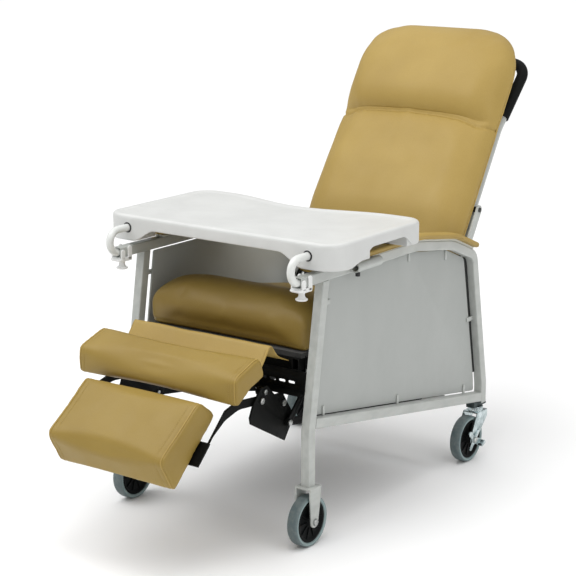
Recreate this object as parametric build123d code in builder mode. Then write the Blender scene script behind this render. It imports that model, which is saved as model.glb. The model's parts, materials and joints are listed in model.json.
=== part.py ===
"""Patient recliner chair with a tray, modelled in millimetres.

Axes: +X is the sitter's left, the chair faces -Y, +Z is up. The origin lies on the floor, in the
middle of the chair's box. Heights are given from the floor, and depths from the front wheel axle.
"""
from build123d import *
import os
from math import cos, sin, radians, atan2

os.makedirs("parts", exist_ok=True)

SIDES = (("left", 1), ("right", -1))

# Where the front wheel axle stands, measured from the origin along Y
AXLE_Y = -360.63

# Tube frame
TUBE = 25.4
WALL = 1.5
CORNER = 3.0
FRAME_X = 277.0
INNER_X = FRAME_X - TUBE / 2
OUTER_X = FRAME_X + TUBE / 2
ARM_TOP = 669.0
ARM_Z = ARM_TOP - TUBE / 2
ARM_FRONT = -42.0
REAR_LEG_Y = 820.3
REAR_LEG_FOOT = 151.0
LEG_Y = 4.0
LEG_FOOT = 150.0
LEG_KNEE = 285.0
LEG_TOP_Y = 62.5
ARM_PATH = [(ARM_FRONT, ARM_Z), (457, ARM_Z), (640, 627), (754.4, 580), (REAR_LEG_Y, 207),
            (REAR_LEG_Y, REAR_LEG_FOOT)]
ARM_BENDS = [300, 200, 35, 100]
RAIL_FRONT_Z = 306.0
RAIL_SLOPE = -0.17
CROSS_Z = 400.0
LOWER_CROSS_Y = 640.0

# Side panels
PANEL = 5.0
PANEL_X = 267.0
PANEL_GAP = 4.0
PANEL_FRONT_GAP = 16.0

# Arm rests and accessory sockets
PAD_BASE = 5.0
PAD_THICK = 14.0
PAD_IN = 262.5
PAD_OUT = 306.0
PAD_FRONT = 115.0
SOCKET_X = 305.0
SOCKET_Z = 659.5
SOCKET_R = 12.5
SOCKET_BORE = 9.5
SOCKET_Y = 155.0
SOCKET_LENGTH = 104.0
SOCKET_DEPTH = 95.0

# Seat
SEAT_HALF = 248.0
SEAT_SLOPE = -0.07
SEAT_FRONT = 30.0
SEAT_END = 600.0
RAIL_TOP_Z = 452.0
RAIL_X = 213.0
RAIL_WIDE = 20.0
RAIL_TALL = 30.0
DECK = 12.0

# Wheels
WHEEL_R = 63.5
TYRE_WIDE = 31.0
RIM_R = 46.0
AXLE_R = 5.0
CASTER_Y = 797.0
REAR_WHEEL_Y = 750.0

# Back, leaning at rest
PIVOT_Y = 685.0
PIVOT_Z = 470.0
LEAN = radians(32.0)
BACK_HALF = 250.0
BACK_THICK = 100.0
BACK_FACE = 12.0
BACK_TUBE_X = 232.0
BACK_TUBE_R = 11.0
BACK_TUBE_F = -11.2
GRIP_R = 15.5
HANDLE_S = 725.0
HANDLE_F = -60.0
HANDLE_BEND_S = 500.0
HANDLE_CORNER = 50.0
FRAME_BEND = 120.0

# Leg rest
PLATE_X = 200.0
PLATE = 5.0
ARM_PIVOT = (-83, 370)
PAD_PIVOT = (-70, 389)
LOWER_PAD_HALF = 175.0
UPPER_PAD_HALF = 240.5
LEG_BOARD = 9.0

# Tray
TRAY_HALF = 355.0
TRAY_DEEP = 400.0
TRAY_TOP = 745.0
TRAY_SKIRT = 33.0
TRAY_WALL = 5.0
TRAY_FOOT = 689.0
HOOK_Z = 713.0
HOOK_R = 9.5
HOOK_FRONT = -37.5

# Running clearance between a pin and its bore
FIT = 0.05


def side_plane(x):
    """A plane across X. Its sketch coordinates are depth from the front axle and height."""
    return Plane(origin=(x, AXLE_Y, 0), x_dir=(0, 1, 0), z_dir=(1, 0, 0))


def plan_plane(z):
    """A level plane. Its sketch coordinates are X and depth from the front axle."""
    return Plane(origin=(0, AXLE_Y, z))


def front_plane(y):
    """An upright plane that faces forward. Its sketch coordinates are X and height."""
    return Plane(origin=(0, AXLE_Y + y, 0), x_dir=(1, 0, 0), z_dir=(0, -1, 0))


def back_plane(forward):
    """A plane along the leaning back. Its sketch coordinates are X and distance up the back."""
    normal = (0, -cos(LEAN), sin(LEAN))
    origin = (0, AXLE_Y + PIVOT_Y + forward * normal[1], PIVOT_Z + forward * normal[2])
    return Plane(origin=origin, x_dir=(1, 0, 0), z_dir=normal)


def back_point(x, up, forward):
    """A point in the row frame from a place on the leaning back."""
    y = AXLE_Y + PIVOT_Y + up * sin(LEAN) - forward * cos(LEAN)
    z = PIVOT_Z + up * cos(LEAN) + forward * sin(LEAN)
    return (x, y, z)


def save(piece, name):
    """Label a finished piece and write it as its own STEP file."""
    piece.part.label = name
    export_step(piece.part, f"parts/{name}.step")


def leg_y(z):
    """Depth of a front leg's centre line at a height."""
    lean = (LEG_TOP_Y - LEG_Y) / (ARM_Z - LEG_KNEE)
    return LEG_Y + max(0.0, z - LEG_KNEE) * lean


def rear_leg_y(z):
    """Depth of a rear leg's centre line at a height on its leaning stretch."""
    (y1, z1), (y2, z2) = ARM_PATH[3], ARM_PATH[4]
    return y1 + (z - z1) * (y2 - y1) / (z2 - z1)


def rail_z(y):
    """Height of a bottom rail's centre line at a depth."""
    return RAIL_FRONT_Z + RAIL_SLOPE * y


def seat_z(y):
    """Height of the seat rails' top at a depth."""
    return RAIL_TOP_Z + SEAT_SLOPE * (y - 20)


def above_arm(height, start, stop):
    """Corners of a line that runs parallel to the arm tube, at a height above its centre."""
    points = [(start, ARM_Z + height)]
    for before, here, after in zip(ARM_PATH, ARM_PATH[1:3], ARM_PATH[2:]):
        turn_in = atan2(here[1] - before[1], here[0] - before[0])
        turn_out = atan2(after[1] - here[1], after[0] - here[0])
        middle = (turn_in + turn_out) / 2
        reach = height / cos((turn_out - turn_in) / 2)
        points.append((here[0] - reach * sin(middle), here[1] + reach * cos(middle)))
    slope = (ARM_PATH[3][1] - ARM_PATH[2][1]) / (ARM_PATH[3][0] - ARM_PATH[2][0])
    points.append((stop, points[-1][1] + slope * (stop - points[-1][0])))
    return points


# ------------------------------------------------------------------ side frames
for side, sign in SIDES:
    with BuildPart() as arm_tube:
        with BuildLine(side_plane(sign * FRAME_X)) as arm_line:
            FilletPolyline(*ARM_PATH, radius=ARM_BENDS)
        with BuildSketch(Plane(origin=arm_line.line @ 0, x_dir=(1, 0, 0), z_dir=(0, 1, 0))):
            RectangleRounded(TUBE, TUBE, CORNER)
            RectangleRounded(TUBE - 2 * WALL, TUBE - 2 * WALL, CORNER - WALL, mode=Mode.SUBTRACT)
        sweep()
    save(arm_tube, f"{side}_arm_tube")

with BuildPart() as front_legs:
    for side, sign in SIDES:
        with BuildLine(side_plane(sign * FRAME_X)) as leg_line:
            FilletPolyline((LEG_Y, LEG_FOOT), (LEG_Y, LEG_KNEE), (leg_y(ARM_TOP), ARM_TOP), radius=150)
        with BuildSketch(Plane(origin=leg_line.line @ 0, x_dir=(1, 0, 0), z_dir=(0, 0, 1))):
            RectangleRounded(TUBE, TUBE, CORNER)
            RectangleRounded(TUBE - 2 * WALL, TUBE - 2 * WALL, CORNER - WALL, mode=Mode.SUBTRACT)
        sweep(path=leg_line.line)
    split(bisect_by=plan_plane(ARM_TOP - TUBE), keep=Keep.BOTTOM)
save(front_legs, "front_legs")

with BuildPart() as bottom_rails:
    for side, sign in SIDES:
        with BuildLine(side_plane(sign * FRAME_X)) as rail_line:
            Line((-20, rail_z(-20)), (REAR_LEG_Y, rail_z(REAR_LEG_Y)))
        with BuildSketch(Plane(origin=rail_line.line @ 0, x_dir=(1, 0, 0), z_dir=rail_line.line % 0)):
            RectangleRounded(TUBE, TUBE, CORNER)
            RectangleRounded(TUBE - 2 * WALL, TUBE - 2 * WALL, CORNER - WALL, mode=Mode.SUBTRACT)
        sweep(path=rail_line.line)
    leg_rear = AXLE_Y + leg_y(RAIL_FRONT_Z) + TUBE / 2 + 0.4
    split(bisect_by=Plane(origin=(0, leg_rear, RAIL_FRONT_Z), z_dir=(0, 1, -0.16)), keep=Keep.TOP)
    split(bisect_by=front_plane(REAR_LEG_Y - TUBE / 2), keep=Keep.TOP)
save(bottom_rails, "bottom_rails")

# ------------------------------------------------------------------ side panels and their clips
panel_top = ARM_TOP - TUBE - PANEL_GAP
panel_outline = [
    (leg_y(330) + TUBE / 2 + PANEL_FRONT_GAP, rail_z(40) + TUBE / 2 + PANEL_GAP),
    (leg_y(panel_top) + TUBE / 2 + PANEL_FRONT_GAP, panel_top),
    (454, panel_top),
    (634, panel_top - 27),
    (724, panel_top - 64),
    (rear_leg_y(230) - TUBE / 2 - 15, 230),
    (rear_leg_y(230) - TUBE / 2 - 12, rail_z(785) + TUBE / 2 + PANEL_GAP),
]
for side, sign in SIDES:
    with BuildPart() as side_panel:
        with BuildSketch(side_plane(sign * PANEL_X)):
            with BuildLine():
                FilletPolyline(*panel_outline, radius=[6, 6, 60, 60, 20, 60, 6], close=True)
            make_face()
        extrude(amount=sign * PANEL)
    save(side_panel, f"{side}_side_panel")

CLIP_WIDE = 8.0
CLIP_TALL = 24.0
FRONT_CLIP_Z = 585.0
with BuildPart() as panel_clips:
    for side, sign in SIDES:
        clip_x = sign * (PANEL_X + PANEL + 2)
        for y in (70, 400, 735):
            foot = rail_z(y) + TUBE / 2 + 1.0
            with Locations((clip_x, AXLE_Y + y, foot + CLIP_TALL / 2)):
                Box(4, CLIP_WIDE, CLIP_TALL)
        for y, top in ((445, 641.5), (625, 612.5)):
            with Locations((clip_x, AXLE_Y + y, top - CLIP_TALL / 2)):
                Box(4, CLIP_WIDE, CLIP_TALL)
        rear_tube = rear_leg_y(CROSS_Z) - TUBE / 2
        front_tube = leg_y(FRONT_CLIP_Z) + TUBE / 2
        rear_spot = (clip_x, AXLE_Y + rear_tube - 16, CROSS_Z)
        front_spot = (clip_x, AXLE_Y + front_tube + 16, FRONT_CLIP_Z)
        with Locations(rear_spot, front_spot):
            Box(4, 30, 12)
save(panel_clips, "panel_clips")

# ------------------------------------------------------------------ arm rests
PAD_END = 742.0
for side, sign in SIDES:
    with BuildPart() as arm_pad:
        with BuildSketch(side_plane(sign * PAD_IN)):
            with BuildLine():
                middle = TUBE / 2 + PAD_BASE + 0.3 + PAD_THICK / 2
                FilletPolyline(*above_arm(middle, PAD_FRONT, PAD_END + 10), radius=180)
            trace(line_width=PAD_THICK)
        extrude(amount=sign * (PAD_OUT - PAD_IN))
        fillet(arm_pad.edges().filter_by(Axis.X), 4)
    save(arm_pad, f"{side}_arm_pad")

with BuildPart() as arm_pad_bases:
    for side, sign in SIDES:
        with BuildSketch(side_plane(sign * INNER_X)):
            with BuildLine():
                middle = (TUBE + PAD_BASE) / 2
                FilletPolyline(*above_arm(middle, PAD_FRONT + 6, PAD_END), radius=180)
            trace(line_width=PAD_BASE)
        extrude(amount=sign * TUBE)
save(arm_pad_bases, "arm_pad_bases")

# ------------------------------------------------------------------ accessory sockets on the arms
SCREW_Y = SOCKET_Y + 12
with BuildPart() as sockets:
    for side, sign in SIDES:
        with BuildSketch(front_plane(SOCKET_Y)):
            with Locations((sign * SOCKET_X, SOCKET_Z)):
                Circle(SOCKET_R)
        extrude(amount=-SOCKET_LENGTH)
        weld_wide = SOCKET_X - OUTER_X
        weld_at = (sign * (OUTER_X + weld_wide / 2), AXLE_Y + SOCKET_Y + SOCKET_LENGTH / 2, SOCKET_Z)
        with Locations(weld_at):
            Box(weld_wide, 60, 12)
        with BuildSketch(front_plane(SOCKET_Y)):
            with Locations((sign * SOCKET_X, SOCKET_Z)):
                Circle(SOCKET_BORE)
        extrude(amount=-SOCKET_DEPTH, mode=Mode.SUBTRACT)
        with BuildSketch(Plane(origin=(sign * SOCKET_X, AXLE_Y + SCREW_Y, SOCKET_Z - SOCKET_R - 2))):
            Circle(2.6)
        extrude(amount=8, mode=Mode.SUBTRACT)
save(sockets, "accessory_sockets")

with BuildPart() as socket_screws:
    for side, sign in SIDES:
        screw_z = SOCKET_Z - SOCKET_R
        with BuildSketch(Plane(origin=(sign * SOCKET_X, AXLE_Y + SCREW_Y, screw_z - 1))):
            Circle(2.5)
        extrude(amount=3.5)
        with BuildSketch(Plane(origin=(sign * SOCKET_X, AXLE_Y + SCREW_Y, screw_z - 1))):
            RegularPolygon(6.5, 6)
        extrude(amount=-9)
save(socket_screws, "socket_screws")

# ------------------------------------------------------------------ cross members and seat rails
ANGLE_TOP = 421.0
ANGLE_FOOT = 372.0
with BuildPart() as front_angle:
    with BuildSketch(side_plane(-INNER_X)):
        Polygon((-12, ANGLE_FOOT), (31, ANGLE_FOOT), (31, ANGLE_TOP), (28, ANGLE_TOP), (28, ANGLE_FOOT + 3),
                (-12, ANGLE_FOOT + 3), align=None)
    extrude(amount=2 * INNER_X)
    with BuildSketch(front_plane(27)):
        with Locations((0, ANGLE_FOOT + 18)):
            with GridLocations(28, 1, 16, 1):
                SlotOverall(20, 7)
    extrude(amount=-6, mode=Mode.SUBTRACT)
save(front_angle, "front_cross_angle")

for name, y, z in (("rear_cross_tube", rear_leg_y(CROSS_Z), CROSS_Z),
                   ("lower_cross_tube", LOWER_CROSS_Y, rail_z(LOWER_CROSS_Y))):
    with BuildPart() as cross_tube:
        with BuildSketch(side_plane(-INNER_X)):
            with Locations((y, z)):
                RectangleRounded(TUBE, TUBE, CORNER)
                RectangleRounded(TUBE - 2 * WALL, TUBE - 2 * WALL, CORNER - WALL, mode=Mode.SUBTRACT)
        extrude(amount=2 * INNER_X)
    save(cross_tube, name)

rail_start = 26.0
rail_stop = rear_leg_y(CROSS_Z) - TUBE / 2
with BuildPart() as seat_rails:
    for side, sign in SIDES:
        with BuildSketch(side_plane(sign * RAIL_X)):
            Polygon((rail_start, seat_z(rail_start)), (rail_stop, seat_z(rail_stop)),
                    (rail_stop, seat_z(rail_stop) - RAIL_TALL),
                    (rail_start, seat_z(rail_start) - RAIL_TALL), align=None)
        extrude(amount=sign * RAIL_WIDE)
        with BuildSketch(side_plane(sign * (RAIL_X + 2))):
            Polygon((rail_start - 5, seat_z(rail_start) - 1.6), (rail_stop + 5, seat_z(rail_stop) - 2.4),
                    (rail_stop + 5, seat_z(rail_stop) - RAIL_TALL + 1.6),
                    (rail_start - 5, seat_z(rail_start) - RAIL_TALL + 2.4), align=None)
        extrude(amount=sign * (RAIL_WIDE - 4), mode=Mode.SUBTRACT)
save(seat_rails, "seat_rails")

# ------------------------------------------------------------------ seat
with BuildPart() as seat_deck:
    with BuildSketch(side_plane(-235)):
        Polygon((SEAT_FRONT + 5, seat_z(SEAT_FRONT + 5)), (SEAT_END - 5, seat_z(SEAT_END - 5)),
                (SEAT_END - 5, seat_z(SEAT_END - 5) + DECK),
                (SEAT_FRONT + 5, seat_z(SEAT_FRONT + 5) + DECK), align=None)
    extrude(amount=470)
save(seat_deck, "seat_deck")

SEAT_CREST_Y = 105.0
SEAT_CREST_Z = 592.0
with BuildPart() as seat_cushion:
    with BuildSketch(side_plane(-SEAT_HALF)):
        base = DECK + 0.4
        with BuildLine():
            FilletPolyline((SEAT_FRONT, seat_z(SEAT_FRONT) + base), (SEAT_END, seat_z(SEAT_END) + base),
                           (SEAT_END, 480), (450, 512), (300, 545), (SEAT_CREST_Y, SEAT_CREST_Z),
                           (SEAT_FRONT, 560), radius=[12, 12, 20, 100, 200, 90, 45], close=True)
        make_face()
    extrude(amount=2 * SEAT_HALF)
    fillet(seat_cushion.faces().sort_by(Axis.X)[0].edges(), 10)
    fillet(seat_cushion.faces().sort_by(Axis.X)[-1].edges(), 10)
save(seat_cushion, "seat_cushion")

with BuildPart() as leg_flap:
    with BuildSketch(side_plane(-210)):
        with BuildLine():
            FilletPolyline((-89, 449), (-52, 502), (-24, 464), (18, 444), radius=11)
        trace(line_width=3)
    extrude(amount=420)
save(leg_flap, "leg_flap")

# ------------------------------------------------------------------ leg rest brackets on the frame
plate_outline = [(-112, 371), (-84, 402), (-60, 402), (-30, ANGLE_FOOT), (0, ANGLE_FOOT), (17, 345),
                 (47, 302), (8, 248), (-124, 323), (-127, 339)]
LINK_BOLT = (17, 293)
STOP_BOLT = (3, 344)
with BuildPart() as mechanism_plates:
    for side, sign in SIDES:
        with BuildSketch(side_plane(sign * PLATE_X)):
            Polygon(*plate_outline, align=None)
            for place, radius in ((ARM_PIVOT, 5.1), (PAD_PIVOT, 4.1), (LINK_BOLT, 5.1), (STOP_BOLT, 5.1)):
                with Locations(place):
                    Circle(radius, mode=Mode.SUBTRACT)
        extrude(amount=sign * PLATE)
save(mechanism_plates, "mechanism_plates")


def bar_outline(start, stop, width):
    """A flat bar with round ends between two bolt centres, drawn in the current sketch."""
    SlotCenterPoint(((start[0] + stop[0]) / 2, (start[1] + stop[1]) / 2), stop, width)


BRACE = 4.0
brace_up_end = (150, seat_z(150) - RAIL_TALL / 2)
brace_low_end = (LOWER_CROSS_Y - TUBE / 2 - 10.3, rail_z(LOWER_CROSS_Y))
with BuildPart() as mechanism_braces:
    for side, sign in SIDES:
        with BuildSketch(side_plane(sign * (PLATE_X + PLATE))):
            bar_outline(LINK_BOLT, brace_low_end, 20)
            with Locations(LINK_BOLT):
                Circle(5.1, mode=Mode.SUBTRACT)
        extrude(amount=sign * (BRACE - 0.2))
        with BuildSketch(side_plane(sign * (PLATE_X + PLATE + BRACE))):
            bar_outline(LINK_BOLT, brace_up_end, 20)
            with Locations(LINK_BOLT):
                Circle(5.1, mode=Mode.SUBTRACT)
        extrude(amount=sign * (BRACE - 0.2))
save(mechanism_braces, "mechanism_braces")

with BuildPart() as mechanism_bolts:
    for side, sign in SIDES:
        outer = PLATE_X + PLATE
        for place, radius, start, head in ((ARM_PIVOT, 5, 191, outer + 0.2), (PAD_PIVOT, 4, 182, outer + 0.2),
                                           (LINK_BOLT, 5, PLATE_X - 3, outer + 2 * BRACE + 0.2),
                                           (STOP_BOLT, 5, PLATE_X - 3, outer + 0.2)):
            with BuildSketch(side_plane(sign * start)):
                with Locations(place):
                    Circle(radius)
            extrude(amount=sign * (head - start))
            with BuildSketch(side_plane(sign * head)):
                with Locations(place):
                    RegularPolygon(radius + 3, 6)
            extrude(amount=sign * 4)
save(mechanism_bolts, "mechanism_bolts")

# ------------------------------------------------------------------ leg rest, lower part
lower_corners = [(-279, 412), (-417, 309), (-366, 222), (-220, 365)]
ARM_BAR = 6.0
ARM_BAR_X = 192.0


def shifted(a, b, distance):
    """The line from a to b, moved to its left by a distance."""
    angle = atan2(b[1] - a[1], b[0] - a[0])
    dy, dz = -sin(angle) * distance, cos(angle) * distance
    return (a[0] + dy, a[1] + dz), (b[0] + dy, b[1] + dz)


def along(a, b, share):
    """A point between a and b."""
    return (a[0] + (b[0] - a[0]) * share, a[1] + (b[1] - a[1]) * share)


def leg_pad(half, corners, radius):
    """A straight pad across the chair, with soft long edges and ends."""
    with BuildPart() as pad:
        with BuildSketch(side_plane(-half)) as section:
            Polygon(*corners, align=None)
            fillet(section.vertices(), radius)
        extrude(amount=2 * half)
        fillet(pad.faces().sort_by(Axis.X)[0].edges(), 5)
        fillet(pad.faces().sort_by(Axis.X)[-1].edges(), 5)
    return pad


face_c, face_d = lower_corners[2], lower_corners[3]
inner_c, inner_d = shifted(face_c, face_d, LEG_BOARD + 0.2)
lower_pad_corners = [lower_corners[0], lower_corners[1], inner_c, inner_d]
lower_pad = leg_pad(LOWER_PAD_HALF, lower_pad_corners, 9)
save(lower_pad, "lower_leg_pad")

with BuildPart() as lower_board:
    with BuildSketch(side_plane(-LOWER_PAD_HALF + 8)):
        first, last = along(face_c, face_d, 0.08), along(face_c, face_d, 0.92)
        inner_first, inner_last = shifted(first, last, LEG_BOARD)
        Polygon(first, inner_first, inner_last, last, align=None)
    extrude(amount=2 * LOWER_PAD_HALF - 16)
save(lower_board, "lower_leg_board")

STRAP = 5.0
arm_route = [ARM_PIVOT, (-162, 378), (-217, 364), (-262, 336), (-300, 297)]
with BuildPart() as legrest_arms:
    for side, sign in SIDES:
        with BuildSketch(side_plane(sign * ARM_BAR_X)):
            with BuildLine():
                FilletPolyline(*arm_route, radius=[90, 60, 60])
            trace(line_width=20)
            with Locations(ARM_PIVOT):
                Circle(12)
                Circle(AXLE_R + FIT, mode=Mode.SUBTRACT)
        extrude(amount=sign * ARM_BAR)
    board_plane = Plane(origin=(0, AXLE_Y + face_c[0], face_c[1]), x_dir=(1, 0, 0),
                        z_dir=(0, face_d[1] - face_c[1], face_c[0] - face_d[0]))
    split(bisect_by=board_plane, keep=Keep.TOP)
    with BuildSketch(side_plane(-ARM_BAR_X - ARM_BAR)):
        first, last = along(face_c, face_d, 0.36), along(face_c, face_d, 0.66)
        outer_last, outer_first = shifted(last, first, STRAP)
        Polygon(first, last, outer_last, outer_first, align=None)
    extrude(amount=2 * (ARM_BAR_X + ARM_BAR))
save(legrest_arms, "legrest_arms")

# ------------------------------------------------------------------ leg rest, upper part
upper_corners = [(-226, 469), (-136, 500), (-115, 444), (-217, 405)]
foot_a, foot_b = upper_corners[2], upper_corners[3]
raised_b, raised_a = shifted(foot_b, foot_a, LEG_BOARD + 0.2)
upper_pad = leg_pad(UPPER_PAD_HALF, [upper_corners[0], upper_corners[1], raised_a, raised_b], 9)
save(upper_pad, "upper_leg_pad")

with BuildPart() as upper_board:
    with BuildSketch(side_plane(-UPPER_PAD_HALF + 12)):
        first, last = along(foot_b, foot_a, 0.1), along(foot_b, foot_a, 0.9)
        Polygon(first, *shifted(first, last, LEG_BOARD), last, align=None)
    extrude(amount=2 * UPPER_PAD_HALF - 24)
save(upper_board, "upper_leg_board")

with BuildPart() as upper_brackets:
    for side, sign in SIDES:
        with BuildSketch(side_plane(sign * 184)):
            Polygon(PAD_PIVOT, along(foot_a, foot_b, 0.2), along(foot_a, foot_b, 0.7), align=None)
            with Locations(PAD_PIVOT):
                Circle(10)
                Circle(4 + FIT, mode=Mode.SUBTRACT)
        extrude(amount=sign * ARM_BAR)
save(upper_brackets, "upper_pad_brackets")

# ------------------------------------------------------------------ front forks and axles
FORK_HALF = 23.0
FORK_WALL = 4.0


def fork(x, plate_y, plate_half, wheel_y, top, wall):
    """An upside-down U over a wheel, narrowing to a round end at the axle."""
    with BuildPart() as shape:
        with BuildSketch(front_plane(plate_y - plate_half)):
            with Locations((x, (top + 40) / 2)):
                Rectangle(2 * FORK_HALF, top - 40)
            with Locations((x, (top - wall + 40) / 2)):
                Rectangle(2 * (FORK_HALF - wall), top - wall - 40, mode=Mode.SUBTRACT)
        extrude(amount=-4 * plate_half, both=True)
        with BuildSketch(side_plane(x - FORK_HALF)) as outline:
            with Locations((wheel_y, WHEEL_R)):
                Circle(14)
            with Locations((plate_y, top - 10)):
                Rectangle(2 * plate_half, 20)
            make_hull()
        extrude(amount=2 * FORK_HALF, mode=Mode.INTERSECT)
        with BuildSketch(side_plane(x - FORK_HALF)):
            with Locations((wheel_y, WHEEL_R)):
                Circle(AXLE_R + 0.1)
        extrude(amount=2 * FORK_HALF, mode=Mode.SUBTRACT)
    return shape


def axle(x, wheel_y, outer=0.0):
    """An axle bolt through a fork, with its head and nut, and room for a lever on one side."""
    start = x - FORK_HALF - 0.1 + min(0.0, outer)
    stop = x + FORK_HALF + 0.1 + max(0.0, outer)
    with BuildPart() as bolt:
        with BuildSketch(side_plane(start)):
            with Locations((wheel_y, WHEEL_R)):
                Circle(AXLE_R)
        extrude(amount=stop - start)
        for end, length in ((start, -5), (stop, 5)):
            with BuildSketch(side_plane(end)):
                with Locations((wheel_y, WHEEL_R)):
                    RegularPolygon(8.5, 6)
            extrude(amount=length)
    return bolt


with BuildPart() as front_forks:
    for side, sign in SIDES:
        add(fork(sign * FRAME_X, LEG_Y, 22, 0, LEG_FOOT, FORK_WALL).part)
save(front_forks, "front_forks")

with BuildPart() as front_axles:
    for side, sign in SIDES:
        add(axle(sign * FRAME_X, 0).part)
save(front_axles, "front_axles")

# ------------------------------------------------------------------ rear casters
HEAD_TOP = 145.7
STEM_R = 6.0
STEM_TOP = 156.0
with BuildPart() as caster_mounts:
    for side, sign in SIDES:
        with BuildSketch(side_plane(sign * FRAME_X - TUBE / 2)):
            under = -TUBE / 2 - 0.3
            rear_face = REAR_LEG_Y - TUBE / 2
            Polygon((768, 146), (REAR_LEG_Y + TUBE / 2, 146), (REAR_LEG_Y + TUBE / 2, REAR_LEG_FOOT),
                    (rear_face, REAR_LEG_FOOT), (rear_face, rail_z(rear_face) + under),
                    (768, rail_z(768) + under), align=None)
        extrude(amount=TUBE)
        with BuildSketch(plan_plane(146)):
            with Locations((sign * FRAME_X, CASTER_Y)):
                Circle(STEM_R + FIT)
        extrude(amount=STEM_TOP - 146 + 0.3, mode=Mode.SUBTRACT)
save(caster_mounts, "caster_mounts")

LEVER = 4.0
for side, sign in SIDES:
    x = sign * FRAME_X
    with BuildPart() as caster_fork:
        add(fork(x, CASTER_Y, 26, REAR_WHEEL_Y, 134, 3).part)
        with BuildSketch(plan_plane(134)):
            with Locations((x, CASTER_Y)):
                Circle(21)
        extrude(amount=HEAD_TOP - 134)
        with BuildSketch(plan_plane(134)):
            with Locations((x, CASTER_Y)):
                Circle(STEM_R)
        extrude(amount=STEM_TOP - 134)
    save(caster_fork, f"{side}_caster_fork")
    save(axle(x, REAR_WHEEL_Y, sign * (LEVER + 0.3)), f"{side}_caster_axle")

    # The brake lever turns on the axle, outside the fork: a plate with three lobes and a foot tab
    with BuildPart() as brake_lever:
        lever_plane = side_plane(x + sign * (FORK_HALF + 0.2))
        with BuildSketch(lever_plane):
            with Locations((REAR_WHEEL_Y, WHEEL_R)):
                Circle(12)
            for lobe_y, lobe_z, lobe_r in ((-20, 22, 5), (-14, -22, 5), (27, -14, 8)):
                lobe = (REAR_WHEEL_Y + lobe_y, WHEEL_R + lobe_z)
                SlotCenterPoint((REAR_WHEEL_Y + lobe_y / 2, WHEEL_R + lobe_z / 2), lobe, 2 * lobe_r)
        extrude(amount=sign * LEVER)
        with BuildSketch(lever_plane):
            with Locations((REAR_WHEEL_Y + 29, WHEEL_R - 15)):
                Circle(8)
        extrude(amount=sign * 18)
        with BuildSketch(lever_plane):
            with Locations((REAR_WHEEL_Y, WHEEL_R)):
                Circle(AXLE_R + FIT)
        extrude(amount=sign * LEVER, mode=Mode.SUBTRACT)
    save(brake_lever, f"{side}_brake_lever")

# ------------------------------------------------------------------ wheels
for place, wheel_y in (("front", 0.0), ("rear", REAR_WHEEL_Y)):
    for side, sign in SIDES:
        x = sign * FRAME_X
        spin = Axis((x, AXLE_Y + wheel_y, WHEEL_R), (1, 0, 0))
        with BuildPart() as tyre:
            with BuildSketch(front_plane(wheel_y)) as tread:
                with Locations((x, WHEEL_R + (WHEEL_R + RIM_R) / 2)):
                    Rectangle(TYRE_WIDE, WHEEL_R - RIM_R)
                fillet(tread.vertices().group_by(Axis.Z)[-1], 7)
            revolve(axis=spin)
        save(tyre, f"{side}_{place}_tyre")
        with BuildPart() as hub:
            with BuildSketch(front_plane(wheel_y)):
                with Locations((x, WHEEL_R + 41)):
                    Rectangle(TYRE_WIDE - 4, 10)
                with Locations((x, WHEEL_R + 25)):
                    Rectangle(10, 40)
                with Locations((x, WHEEL_R + 10)):
                    Rectangle(36, 12)
                with Locations((x, WHEEL_R)):
                    Rectangle(60, 2 * (AXLE_R + FIT), mode=Mode.SUBTRACT)
            revolve(axis=spin)
        save(hub, f"{side}_{place}_hub")

# ------------------------------------------------------------------ back
with BuildPart() as back_frame:
    with BuildLine() as back_line:
        corners = [back_point(BACK_TUBE_X, 45, BACK_TUBE_F),
                   back_point(BACK_TUBE_X, HANDLE_BEND_S, BACK_TUBE_F),
                   back_point(BACK_TUBE_X, HANDLE_S, HANDLE_F),
                   back_point(-BACK_TUBE_X, HANDLE_S, HANDLE_F),
                   back_point(-BACK_TUBE_X, HANDLE_BEND_S, BACK_TUBE_F),
                   back_point(-BACK_TUBE_X, 45, BACK_TUBE_F)]
        FilletPolyline(*corners, radius=[FRAME_BEND, HANDLE_CORNER, HANDLE_CORNER, FRAME_BEND])
    with BuildSketch(Plane(origin=back_line.line @ 0, z_dir=back_line.line % 0)):
        Circle(BACK_TUBE_R)
        Circle(BACK_TUBE_R - WALL, mode=Mode.SUBTRACT)
    sweep()
save(back_frame, "back_frame_tube")

GRIP_S = 540.0
grip_f = BACK_TUBE_F + (HANDLE_F - BACK_TUBE_F) * (GRIP_S - HANDLE_BEND_S) / (HANDLE_S - HANDLE_BEND_S)
with BuildPart() as push_grip:
    with BuildLine() as grip_line:
        FilletPolyline(back_point(BACK_TUBE_X, GRIP_S, grip_f), back_point(BACK_TUBE_X, HANDLE_S, HANDLE_F),
                       back_point(-BACK_TUBE_X, HANDLE_S, HANDLE_F),
                       back_point(-BACK_TUBE_X, GRIP_S, grip_f), radius=HANDLE_CORNER)
    with BuildSketch(Plane(origin=grip_line.line @ 0, z_dir=grip_line.line % 0)):
        Circle(GRIP_R)
        Circle(BACK_TUBE_R + 0.05, mode=Mode.SUBTRACT)
    sweep()
save(push_grip, "push_grip")

BOARD_MIDDLE_S = 395.0
BOARD_TALL = 620.0
BOARD_WIDE = 450.0
BOARD_CORNER = 120.0
with BuildPart() as back_board:
    with BuildSketch(back_plane(0)):
        with Locations((0, BOARD_MIDDLE_S)):
            RectangleRounded(BOARD_WIDE, BOARD_TALL, BOARD_CORNER)
    extrude(amount=BACK_FACE)
save(back_board, "back_board")

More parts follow.
